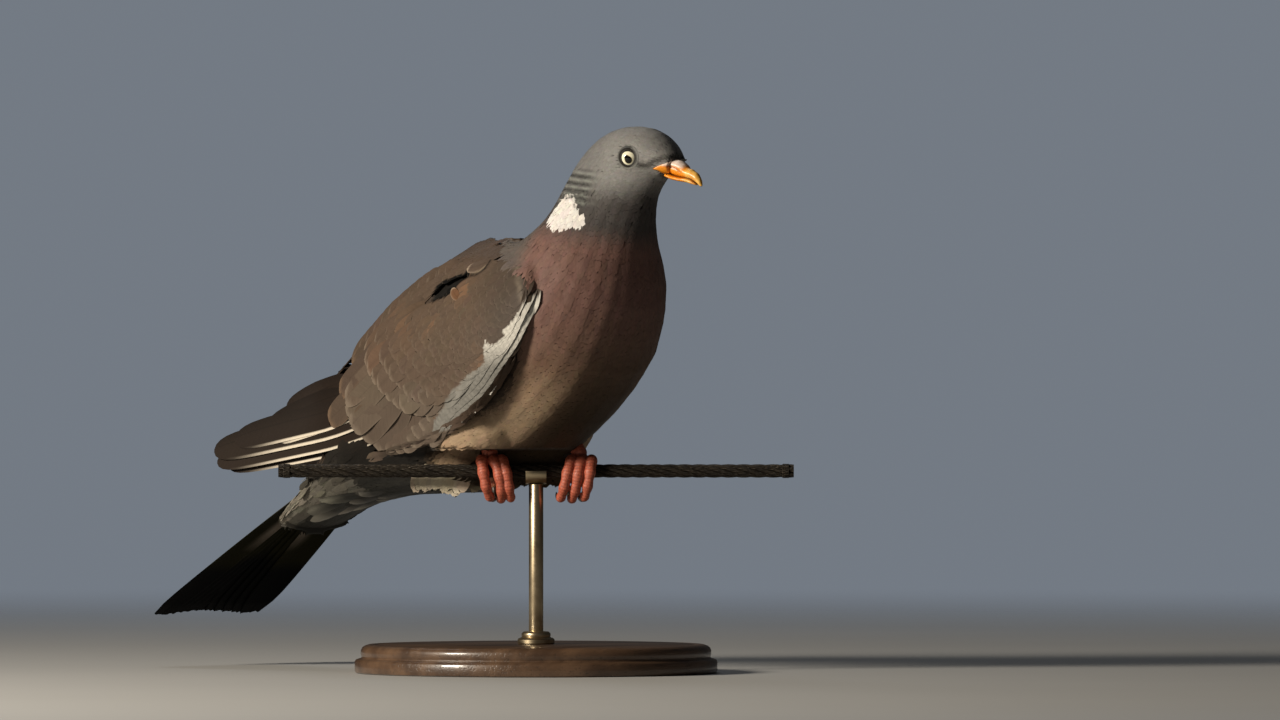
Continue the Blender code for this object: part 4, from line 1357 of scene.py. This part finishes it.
def white_edge(low):
    def edge(colours, share, cols, shift, length):
        strength = fade(cols * low, 0.83, 0.90) * fade(share, 0.05, 0.2) * (1 - fade(share, 0.55, 0.92))
        shaft = 1 - 0.35 * (np.abs(cols) < 0.03)
        dark = fade(cols * low, -1, 0.6)
        shade = shaft * (0.75 + 0.35 * dark)
        return blend(colours * shade[..., None], strength * 0.92, (0.70, 0.625, 0.51))
    return edge


FLIGHT = dict(REMEX, cols=[-1, -0.90, -0.83, -0.4, -0.06, 0, 0.06, 0.4, 0.83, 0.90, 1])

# root, tip, half width and how deep it lies, from the outermost primary up
PRIMARIES = [((-60, 18), (-190, 1.5), 6.2, -2.3), ((-60, 22.5), (-197, 3.5), 7.2, -2.0),
             ((-64, 28), (-199, 9.0), 8.0, -1.7), ((-74, 31), (-182, 14.5), 7.6, -1.4),
             ((-82, 31.5), (-169, 13.6), 7.6, -1.15), ((-92, 37.5), (-158, 19.5), 7.8, -0.95),
             ((-92, 44), (-146, 27.5), 8.2, -0.8)]
SECONDARY_TIPS = [(-26, 24.5), (-34, 20), (-42, 16.5), (-50, 12.6), (-58, 11.6), (-66, 11.8), (-76, 13.5),
                  (-84, 18.5), (-89, 25), (-91, 34)]
TERTIALS = [((-62, 47), (-107, 24), 7.5, -0.75), ((-64, 50), (-119, 22.5), 7.2, -0.65),
            ((-76, 38), (-138, 24.5), 7.2, -0.55), ((-72, 60), (-131, 33), 8.0, -0.45),
            ((-70, 67), (-140, 36), 8.0, -0.35), ((-58, 66), (-98, 38), 7.5, -0.35),
            ((-60, 76), (-119, 46), 8.0, -0.25), ((-54, 78), (-96, 55), 7.5, -0.2)]
RUST = [(-74, 48), (-82, 61), (-53, 67), (-28, 67), (-45, 60), (-66, 72), (-13, 86), (-9, 83), (12, 52)]
GREATER_TIPS = [(-11, 37), (-21, 31), (-36, 29), (-50, 33.5), (-64, 43), (-77, 55), (-88, 66)]
# how far ahead of the greater coverts each row of coverts ends, and its feathers' spacing
COVERT_ROWS = [(0, 6.4), (11, 5.8), (20, 5.0), (27.5, 4.4), (34, 4.0), (40, 3.8), (45.5, 3.6), (51, 3.5),
               (56, 3.4), (61, 3.3), (66, 3.2), (71, 3.2), (76, 3.1), (81, 3.1),
               *((away, 3.0) for away in (86, 91, 96, 101, 106))]
# where each row of scapulars ends, how long they are and half their width
SCAPULAR_ROWS = [([(-14, 98.5), (-30, 96.5), (-55, 84), (-78, 68), (-98, 55)], 26, 7.0),
                 ([(-5, 99.5), (-22, 98.5), (-42, 91.5), (-64, 79), (-82, 66)], 24, 6.6),
                 ([(5, 98.5), (-10, 101.5), (-28, 100), (-50, 89.5), (-66, 80)], 22, 6.2)]

for side, word in SIDES:
    low = -side
    wing = Surface(owner == "wing_" + word)
    roots, tips, halves, level = zip(*PRIMARIES)
    tint = varied(np.tile([0.015, 0.0095, 0.0065], (len(roots), 1)), WING_RNG, 0.12, 0.01)
    drawn("primaries_" + word, wing, side, roots, tips, halves, level, tint, FLIGHT, white_edge(low),
          sink=0.0003, lean=0.3, tilt=0.05, curve=0.07, atlas=3, lift=0.0, bow=-0.8, paint=None, outward=0.8,
          ragged=0.0, loose=True)
    tips = spaced(SECONDARY_TIPS, 12)
    reach = np.linspace(32, 56, 12)
    tint = varied(wing_colour(*tips.T), WING_RNG, 0.03, 0.01)
    drawn("secondaries_" + word, wing, side, back_from(tips, 29, reach), tips, 8.0,
          np.linspace(-0.95, -0.5, 12), tint, REMEX, rim(0.55, low, 0.25), sink=0.0003, lean=0.2, atlas=4)
    roots, tips, halves, level = zip(*TERTIALS)
    tint = blend(wing_colour(*np.array(tips, float).T), 0.45, (0.070, 0.047, 0.034))
    tint[2] = (0.020, 0.015, 0.013)
    tint = varied(tint, WING_RNG, 0.07, 0.015)
    drawn("tertials_" + word, wing, side, roots, tips, halves, level, tint, REMEX,
          rim(0.45, low, 0.3, (0.20, 0.13, 0.08)), sink=0.0003, atlas=3, lift=0.0002)
    rows, sizes = [], []
    for step, (away, gap) in enumerate(COVERT_ROWS):
        base_line = np.array(GREATER_TIPS, float) + np.array([0.857, 0.515]) * away
        count = int(np.linalg.norm(np.diff(base_line, axis=0), axis=1).sum() / gap)
        row = spaced(base_line, count * 2)[step % 2::2]
        row = row + WING_RNG.normal(0, 0.25 if step < 2 else 0.6, row.shape)
        rows.append(row)
        sizes += [(gap, max(27 - 1.7 * step, 12.0), step)] * len(row)
    tips, sizes = np.vstack(rows), np.array(sizes)
    lie = lie_down(*tips.T)
    roots = back_from(tips, lie, sizes[:, 1])
    ahead = (roots[:, 0] - np.interp(roots[:, 1], WING_EDGE[::-1, 1], WING_EDGE[::-1, 0])) < -0.5
    keep = (line_gap(*roots.T, WING_EDGE) > 0.5) & ahead & (roots[:, 1] < 108 + 0.05 * roots[:, 0])
    for kind, test, depth, pale in (("greater", sizes[:, 2] == 0, -0.30, 0.6),
                                    ("median", sizes[:, 2] == 1, -0.12, 0.42),
                                    ("lesser", sizes[:, 2] > 1, 0.0, 0.14)):
        use = keep & test
        tint = varied(wing_colour(*tips[use].T), WING_RNG, 0.03, 0.012)
        for spot in RUST:
            near = np.exp(-(((tips[use] - spot) / 5.0) ** 2).sum(1))
            tint = blend(tint, near * WING_RNG.uniform(0, 0.45, use.sum()), (0.24, 0.125, 0.065))
        drawn(f"{kind}_coverts_{word}", wing, side, roots[use], tips[use], sizes[use, 0] * 1.15, depth, tint,
              COVERT, rim(pale, low), blocked=in_slit_here, sink=0.0010, lift=0.00012)
    edge_line = smooth_line(WING_EDGE[::-1], 60)
    way = unit(np.gradient(edge_line, axis=0))
    inward = np.stack([-way[:, 1], way[:, 0]], 1)
    picks = np.linspace(8, 54, 22).astype(int)
    rows = [(edge_line + inward * inset)[picks] for inset in (-1.2, 1.0, 3.6)]
    tips = np.vstack(rows) - np.vstack([way[picks]] * 3) * 8
    roots = np.vstack(rows) + np.vstack([way[picks]] * 3) * 8
    tint = varied(wing_colour(*tips.T), WING_RNG, 0.03, 0.01)
    drawn("edge_coverts_" + word, wing, side, roots, tips, 3.4, np.repeat([-0.1, 0.25, 0.15], len(picks)),
          tint, COVERT, rim(0.0, low), sink=0.0010, curve=0.03, loose=True)
    for number, (row_line, reach, half) in enumerate(SCAPULAR_ROWS):
        tips = spaced(row_line, 14)
        tint = varied(wing_colour(*tips.T) * (0.95, 0.93, 0.92), WING_RNG, 0.05, 0.015)
        drawn(f"scapulars_{number + 1}_{word}", coat, side, back_from(tips, 33, reach), tips, half,
              0.35 + 0.12 * number, tint, COVERT, rim(0.25, low), blocked=in_slit_here, sink=0.0014,
              lift=0.0002, outward=0.6, misses=0)
    tint = np.array([[0.088, 0.062, 0.046], [0.13, 0.066, 0.034]])
    drawn("loose_feathers_" + word, wing, side, [(4, 103.5), (-6, 83.6)], [(-11.5, 97.6), (-14.8, 88.0)],
          [3.9, 2.3], [0.75, 0.6], tint, COVERT, rim(0.6, low, 0.4, (0.42, 0.34, 0.26)), lift=0.0012,
          tilt=0.10, curve=0.02, bow=1.2, paint=None, outward=0.3)


def wing_top(places):
    """Places on the folded wings' upper faces, which the rows of coverts at the side don't reach."""
    _, normal = coat.at(places)
    forward, up, out = bird_axes(places)
    faces_up = np.abs(normal[:, 0]) < np.interp(forward, [-120, -60, 0], [0.62, 0.60, 0.55])
    clear = (np.abs(out) > 9) & ~in_slit_here(forward, up)  # nothing stands in the groove between the wings
    return np.char.startswith(labelled(places), "wing") & faces_up & (forward > -170) & clear


def shoulder_colour(places):
    forward, up, _ = bird_axes(places)
    return wing_colour(forward, up) * (0.97, 0.95, 0.94)


contour("shoulder_feathers", wing_top, 2.7, 5.4, 0.95, firm, "wing_feathers", edge=rim(0.12, 1),
        colour=shoulder_colour)

# The tail: twelve straight feathers fanned a little, the middle pair on top, grey-brown above
# with a black end, and dark olive below, an olive that is painted shade. Soft pale-rimmed coverts lie
# over its root, and long downy lobes with cream ends hang below it.

TAIL_ROOT, TAIL_LENGTH, TAIL_DROOP = (-100.0, 17.5), 159.0, math.radians(34)
TAIL_RNG = np.random.default_rng(5)
RECTRIX = {"rows": [i / 17 for i in range(18)],
           "wide": [0.42, 0.5, 0.58, 0.66, 0.73, 0.80, 0.86, 0.90, 0.94,
                    0.97, 0.99, 1, 1, 1, 0.99, 0.96, 0.86, 0.55],
           "cols": [-1, -0.88, -0.6, -0.3, -0.05, 0, 0.05, 0.3, 0.6, 0.88, 1], "pull": 0.0, "rise": 1.0}


def tail_place(share, out, over):
    """A place in the tail: share of its length, and millimetres out and over its middle."""
    run = share * TAIL_LENGTH
    return model_place(TAIL_ROOT[0] - run * math.cos(TAIL_DROOP) - over * math.sin(TAIL_DROOP),
                       TAIL_ROOT[1] - run * math.sin(TAIL_DROOP) + over * math.cos(TAIL_DROOP), out)


places_out = np.arange(-5.5, 6)  # each feather's place from the bird's right to its left
share = np.array(RECTRIX["rows"])
rank = np.abs(places_out) / 5.5
out = (5.0 + (31.0 - 5.0) * share[:, None]) * (places_out / 5.5)[None, :]
reach = 0.998 - 0.010 * rank ** 2
over = 1.3 - 2.0 * rank[None, :] * (1 - 0.2 * share[:, None]) - 2.6 * (out / 38) ** 2
line = tail_place(share[:, None] * reach[None, :], out, over)


def faces_of(line, side, lean_out):
    """Which way the vanes of these centre lines face: above or below, and so much outwards."""
    ups = unit(np.cross(unit(np.gradient(line, axis=0)), np.array([1.0, 0, 0])))
    return unit(ups * np.sign(ups[..., 2:3]) * side + np.stack([lean_out, 0 * lean_out, 0 * lean_out], -1))


ups = faces_of(line, 1, 0.06 * places_out / 5.5)


def tail_colours(colours, share, cols, shift, length):
    outer_web = np.sign(places_out)[:, None, None] * np.array(RECTRIX["cols"])[None, None]
    outermost = (rank > 0.95)[:, None, None]
    turn = 0.60 + 0.115 * rank[:, None, None] ** 1.5 + 0.010 * np.abs(cols)
    end = fade(share + 0 * shift - turn, -0.02, 0.03)
    shade = (0.92 + 0.10 * cols ** 2)[..., None]
    pale_web = 0.9 * outermost * fade(outer_web, 0.1, 0.6) * (1 - fade(share, 0.50, 0.66))
    grey = painted(np.array([0.080, 0.077, 0.070]) * np.ones((*np.broadcast(share, shift).shape, 3)),
                   # painted shade: from 0.30 to 0.50 of the length the feathers darken to olive black, as the
                   # tail's underside looks in shadow
                   (fade(share + 0 * shift, 0.30, 0.50), (0.012, 0.011, 0.004)),
                   (pale_web, (0.20, 0.165, 0.135)))
    shaft = 1 + 0.3 * (np.abs(cols) < 0.03)
    return blend(grey * shade * shaft[..., None], end, (0.0022, 0.0022, 0.0024))


tail_tint = np.tile([0.08, 0.08, 0.075], (12, 1))
half = 10.6 - 0.6 * rank
rectrices = vanes("rectrices", line, ups, half / 1000, 0.0, tail_tint, RECTRIX, 0.09, TAIL_RNG, 0.0,
                  edge=tail_colours, ragged=0.002, atlas=4, crown=0)
modified(rectrices, "SOLIDIFY", thickness=0.0003, offset=-1.0)
dark_barbs = plume("tail_barbs", 6.0, 0.14, 0.8, 0.0, gloss=0.03)
settle(rectrices, "rectrices", dark_barbs, "tail_feathers")

# long downy lobes below the tail: share of the tail and millimetres out at the tip, half width, paleness
LOBES = [(0.40, -16, 6.0, 0.55), (0.44, -9.5, 6.8, 1.0), (0.37, -3, 6.2, 0.85), (0.33, 2, 5.6, 0.9),
         (0.32, -17, 6.0, 0.6), (0.29, -8, 6.0, 0.9), (0.27, 6, 5.0, 0.6), (0.23, 9, 4.6, 0.8),
         (0.23, 1, 5.0, 0.9), (0.21, -13, 6.0, 0.8), (0.19, -4, 5.6, 0.9), (0.18, 7, 4.6, 0.7)]
steps = np.array(COVERT["rows"])[:, None]
paths = []
for share, out, _, _ in LOBES:
    tip = tail_place(share, out, -4.2 + 0.004 * out * out)
    reach = -100 - share * TAIL_LENGTH * math.cos(TAIL_DROOP) + 42
    start = model_place(min(reach, -84), -60, out * 0.9)
    root = np.array(coat.tree.ray_cast(Vector(start), (0, 0, 1))[0])
    paths.append(root + (tip - root) * steps - np.array([0, 0, 0.0105]) * steps * (1 - steps))
line = np.stack(paths, 1)
found, normal = coat.at(line.reshape(-1, 3))
found, normal = found.reshape(line.shape), normal.reshape(line.shape)
depth = ((line - found) * normal).sum(-1, keepdims=True)
line = line + normal * np.where((depth < 0.0006) & (normal[..., 2:3] < 0), 0.0006 - depth, 0)
for _ in range(3):
    line[1:-1] = 0.25 * line[:-2] + 0.5 * line[1:-1] + 0.25 * line[2:]
ups = faces_of(line, -1, line[..., 0] * 18)
pale = np.array([lobe[3] for lobe in LOBES])
tint = blend(np.tile([0.014, 0.012, 0.005], (len(LOBES), 1)), pale, (0.42, 0.39, 0.32))
half = np.array([lobe[2] for lobe in LOBES]) / 1000


def lobe_painted_shade(colours, share, cols, shift, length):
    # painted shade: each lobe darker at its sides and much darker at its base, under the others
    lobe_shade = (1 - 0.45 * fade(np.abs(cols), 0.55, 1.0)) * (0.10 + 0.90 * fade(share, 0.30, 0.66))
    return colours * lobe_shade[..., None]


lobes = vanes("undertail_lobes", line, ups, half, 0.0012, varied(tint, TAIL_RNG, 0.05, 0.015), COVERT, 0.016,
              TAIL_RNG, 0.0002, edge=lobe_painted_shade, ragged=0.01)
settle(lobes, "undertail_lobes", down, "tail_feathers")
# coverts over the root: share of the tail where each row's tips end, reach, half width, count, spread
lines, normals, halves, tints = [], [], [], []
for end, reach, wide, count, spread in ((0.06, 24, 6, 8, 20), (0.14, 28, 6.5, 8, 21), (0.22, 32, 7, 7, 22),
                                        (0.30, 34, 7.5, 7, 23)):
    tip_out = np.linspace(-spread, spread, count) + TAIL_RNG.normal(0, 0.5, count)
    share = (end + TAIL_RNG.normal(0, 0.006, count)[None] - 0.0008 * np.abs(tip_out)
             - (1 - steps) * reach / TAIL_LENGTH)
    out = tip_out[None] * (0.66 + 0.34 * steps)
    path = tail_place(share, out, 2.6 - 1.2 * share - 2.6 * (out / 38) ** 2)
    lines.append(path)
    normals.append(faces_of(path, 1, out / 55))
    halves.append(np.full(count, wide))
    tints.append(varied(np.tile([0.13, 0.135, 0.14], (count, 1)), TAIL_RNG, 0.05, 0.015))


def pale_tip(colours, share, cols, shift, length):
    at_tip = fade(share + 0.10 * cols ** 2, 0.90, 1.02)
    # a darker base, partly the coverts' own grey and partly painted shade under those above
    base = 0.62 + 0.38 * fade(share, 0.35, 0.8)
    return blend(colours * base[..., None], at_tip * 0.8, (0.50, 0.465, 0.38))


line, ups = np.concatenate(lines, 1), np.concatenate(normals, 1)
over_root = vanes("uppertail_coverts", line, ups, np.concatenate(halves) / 1000, 0.0010,
                  np.concatenate(tints), COVERT, 0.04, TAIL_RNG, 0.0003, edge=pale_tip, ragged=0.015)
settle(over_root, "uppertail_coverts", down, "tail_feathers")

# The belly's loose tufts: long feathers between the legs, dark as painted shade, that hang down
# behind the rope, and a paler fringe beside the near leg.

# from and to along the rope, how far behind it, where the tips end, how many, and their colour
# the first, second and last rows are dark as painted shade between the legs; the third is the pale fringe
TUFTS = [(-19, 14, 9, -7.0, 16, (0.070, 0.052, 0.034)), (-20, 12, 12, -5.0, 14, (0.055, 0.042, 0.028)),
         (-58, -35, 10, -10.5, 12, (0.56, 0.50, 0.37)), (-36, -26, 11, -9.0, 6, (0.090, 0.075, 0.050))]


def at_rope(spot, behind, drop):
    """A place by the rope: millimetres along it, behind it and above its middle."""
    return np.array(PERCH + ROPE_WAY * spot / 1000 - ROPE_FRONT * behind / 1000 + UP * drop / 1000)


tuft_lines, tuft_tints = [], []
for first, last, behind, bottom, count, colour in TUFTS:
    for spot in np.linspace(first, last, count):
        spot, drop = spot + TAIL_RNG.normal(0, 0.8), bottom + TAIL_RNG.normal(0, 1.0)
        tip, root = at_rope(spot - 1.5, behind - 2, drop), at_rope(spot + 3, behind + 2, drop + 17)
        tuft_lines.append(root + (tip - root) * steps)
        tuft_tints.append(colour)
line = np.stack(tuft_lines, 1)
tufts = vanes("belly_tufts", line, np.tile(np.array(ROPE_FRONT), (*line.shape[:2], 1)), 0.0034, 0.0004,
              varied(np.array(tuft_tints), TAIL_RNG, 0.08, 0.02), COVERT, 0.03, TAIL_RNG, 0.0003,
              edge=soft_edge, ragged=0.02)
settle(tufts, "belly_tufts", down, "breast_feathers")


# The feet: four coral toes each, closed round the rope, with raised scutes along their backs,
# swollen pads beneath and finely grained skin between; the shanks go up into the thighs.

TOE_THICK = 2.85  # millimetres, the radius of a toe's root
TOES = {  # where a toe starts, bends and ends along the rope, its sweep round it, and its claw
    "right": {"outer": (-4.4, -2.9, 0.6, 172, 7.0), "middle": (0.4, 4.9, 4.4, 196, 8.5),
              "inner": (4.6, 8.4, 9.8, 178, 7.5), "hind": (0.0, 0.9, 1.5, -118, 7.0)},
    "left": {"outer": (-5.0, -3.6, -0.6, 172, 7.0), "middle": (-0.4, 2.4, 5.4, 196, 8.5),
             "inner": (4.0, 7.6, 10.6, 178, 7.5), "hind": (0.0, 0.9, 1.5, -118, 7.0)}}
SWELLS = np.array([0.95, 1.08, 0.86, 1.04, 0.80, 0.95, 0.72, 0.86, 0.60]) * TOE_THICK


def grip_place(side, along_rope, turn):
    """A place in the grip: millimetres along the rope from the foot's middle, and degrees round it."""
    turn = np.radians(turn)[..., None]
    middle = np.array(PERCH) + np.array(ROPE_WAY) * (side * (22 - np.asarray(along_rope)) / 1000)[..., None]
    round_rope = np.array(ROPE_FRONT) * (0.3 + 7.8 * np.sin(turn)) + np.array(UP) * (9.9 * np.cos(turn) - 3.6)
    return middle + round_rope / 1000


def rod_along(line, radii, around, flat=1.0):
    """A closed round rod laid along a line of places, from a grid that is rolled up and joined."""
    count = len(line)
    bpy.ops.mesh.primitive_grid_add(x_subdivisions=around, y_subdivisions=count - 1, size=1)
    piece = bpy.context.object
    way = unit(np.gradient(line, axis=0))
    cross = unit(np.array(ROPE_WAY) - (way @ np.array(ROPE_WAY))[:, None] * way)
    other = np.cross(way, cross)
    turn = np.linspace(0, 2 * math.pi, around + 1)
    radii = np.asarray(radii)[:, None, None] / 1000
    rolled = line[:, None] + radii * (np.cos(turn)[None, :, None] * cross[:, None] * flat
                                      + np.sin(turn)[None, :, None] * other[:, None])
    put_at(piece.data, rolled)
    bpy.ops.object.mode_set(mode="EDIT")
    bpy.ops.mesh.select_all(action="SELECT")
    bpy.ops.mesh.remove_doubles(threshold=0.000004)
    bpy.ops.mesh.select_all(action="DESELECT")
    bpy.ops.mesh.select_mode(type="EDGE")
    bpy.ops.mesh.select_non_manifold()
    bpy.ops.mesh.fill_holes(sides=0)
    bpy.ops.mesh.select_all(action="SELECT")
    bpy.ops.mesh.normals_make_consistent(inside=False)
    bpy.ops.object.mode_set(mode="OBJECT")
    return piece


def rounded_ends(radii):
    """Radii that close to a dome at both ends of a rod."""
    t = np.linspace(0, 1, len(radii))
    near = np.clip(np.minimum(t, 1 - t) / 0.06, 0.02, 1)
    return radii * np.sqrt(1 - (1 - near) ** 2)


coral = Finish("coral_scutes", Roughness=0.42, Specular_IOR_Level=0.45, Coat_Weight=0.08, Coat_Roughness=0.4)
cells = coral.node("TexVoronoi", {"feature": "DISTANCE_TO_EDGE"}, {"Vector": coral.place(), "Scale": 1500.0})
spots = coral.noise(coral.place(), 420.0, 3.0)
shade = coral.darkened(spots.fade(0.45, 0.75) * 0.5, coral.tint(), (0.62, 0.50, 0.45))
coral.coloured(coral.darkened(1 - cells.fade(0.0, 0.10), shade, (0.60, 0.50, 0.48)))
coral.relief(cells.fade(0.0, 0.22), 0.00012, 0.5)
claw_horn = Finish("claw_horn", Roughness=0.33, Coat_Weight=0.3, Coat_Roughness=0.2)
growth = claw_horn.noise(claw_horn.place(), 900.0, 3.0)
claw_horn.coloured(claw_horn.darkened(growth.fade(0.35, 0.7) * 0.5, claw_horn.tint(), (0.5, 0.42, 0.36)))
claw_horn.relief(growth, 0.00008, 0.4)

for side, word in SIDES:
    t = np.linspace(0, 1, 61)
    axes, radii_of = [], []
    for toe, (start, bend, end, sweep, claw) in TOES[word].items():
        along_rope = start * (1 - t) * (1 - 2 * t) + 4 * bend * t * (1 - t) + end * t * (2 * t - 1)
        first = math.copysign(14, sweep)
        axes.append(grip_place(side, along_rope, first + (sweep - first) * t))
        radii_of.append(np.interp(t, np.linspace(0, 1, 9), SWELLS))
        line = axes[-1]
        way = unit(line[-1] - line[-2])
        inward = unit(np.array(PERCH) + np.array(ROPE_WAY) * side * (22 - end) / 1000 - line[-1])
        reach = claw / 1000
        hook = np.array([line[-1] - way * 0.0006, line[-1] + way * reach * 0.45,
                         line[-1] + way * reach * 0.8 + inward * reach * 0.15,
                         line[-1] + way * reach * 0.95 + inward * reach * 0.5])
        s = np.linspace(0, 1, 28)
        hook = np.stack([(1 - s) ** 3, 3 * (1 - s) ** 2 * s, 3 * (1 - s) * s ** 2, s ** 3], 1) @ hook
        thick = TOE_THICK * (0.58 * (1 - s) ** 0.55 + 0.02) * np.clip(s * 14 + 0.25, 0, 1)
        nail = rod_along(hook, thick, 16, 0.80)
        share = np.linalg.norm(numbers(nail.data) - hook[0], axis=1) / reach
        brown = np.tile([0.115, 0.068, 0.045], (len(share), 1))
        give_tint(nail.data, blend(brown, fade(share, 0.05, 0.5), (0.028, 0.021, 0.017)))
        work_on(nail)
        bpy.ops.object.shade_smooth()
        settle(nail, f"claw_{toe}_{word}_horn", claw_horn, "claws", f"claw_{toe}_{word}")
    knuckle = grip_place(side, np.array(0.5), np.array(-4.0)) + (0, 0, 0.001)
    leg = np.array([side * 0.0015, 0.011, 0.017])
    shares = np.linspace(-0.12, 1.02, 40)
    axes.append(knuckle + shares[:, None] * leg)
    shank = np.interp(shares, [-0.12, 0.06, 0.35, 0.7, 1.02], [0.8, 1.35, 1.12, 1.0, 1.12])
    radii_of.append(shank * TOE_THICK)
    parts = [rod_along(line, rounded_ends(radii), 20) for line, radii in zip(axes, radii_of)]
    bpy.ops.mesh.primitive_uv_sphere_add(segments=24, ring_count=16, radius=0.0036)
    ball = bpy.context.object
    put_at(ball.data, numbers(ball.data) * (1, 1, 0.82) + knuckle + (0, 0, -0.0008))
    for part in [*parts, ball]:
        part.select_set(True)
    bpy.ops.object.join()
    foot = bpy.context.object
    foot.data.remesh_voxel_size = 0.00030
    bpy.ops.object.voxel_remesh()
    modified(foot, "SMOOTH", factor=0.5, iterations=4)
    places, normal = numbers(foot.data), numbers(foot.data, "vertex_normals", "vector")
    knots = np.vstack(axes)
    which = np.concatenate([np.full(len(line), k) for k, line in enumerate(axes)])
    steps = [np.linalg.norm(np.diff(line, axis=0), axis=1) for line in axes]
    run = np.concatenate([np.r_[0, np.cumsum(step)] for step in steps]) * 1000
    near = np.array([((knots - p) ** 2).sum(1).argmin() for p in places])
    way = unit(np.vstack([np.gradient(line, axis=0) for line in axes]))[near]
    beside = places - knots[near]
    length_at = run[near] + (beside * way).sum(1) * 1000
    hub = np.array(PERCH) + np.array(ROPE_WAY) * ((places - np.array(PERCH)) @ np.array(ROPE_WAY))[:, None]
    outward = np.where((which[near] == 4)[:, None], np.array([0.0, -1.0, 0.25]), places - hub)
    facing = (unit(beside) * unit(outward)).sum(1)
    period = np.where(which[near] == 4, 1.9, 1.35)
    phase = length_at / period
    groove = np.exp(-((phase - np.round(phase)) / 0.13) ** 2)
    back = fade(facing, 0.25, 0.65)
    height = -0.10 * groove * back + 0.05 * back
    pads = bump(((length_at / 5.0) % 1.0), 0.5, 0.26) * fade(-facing, 0.2, 0.8) * (which[near] < 4)
    height = height + 0.22 * pads
    put_at(foot.data, places + normal * (height / 1000)[:, None])
    ends = np.array([line[-1] for line in axes[:4]])
    tip_gap = np.sqrt(((places[:, None] - ends[None]) ** 2).sum(-1)).min(1) * 1000
    colours = painted(np.tile([0.52, 0.120, 0.065], (len(places), 1)),
                      (0.55 * back * (1 - groove), (0.54, 0.150, 0.088)),
                      (0.45 * back * groove, (0.17, 0.028, 0.016)),
                      (0.7 * pads, (0.58, 0.30, 0.17)),
                      (0.6 * (1 - fade(tip_gap, 1.0, 3.5)), (0.50, 0.26, 0.13)))
    colours = colours * (1 + 0.10 * np.sin(places @ np.array([2100.0, 1700.0, 2600.0])))[:, None]
    give_tint(foot.data, colours)
    work_on(foot)
    bpy.ops.object.shade_smooth()
    settle(foot, f"foot_{word}_scuted", coral, "feet", f"foot_{word}")

visual_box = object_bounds()
sizes = {"cad": [list(corner) for corner in cad_box], "visual": [list(corner) for corner in visual_box]}
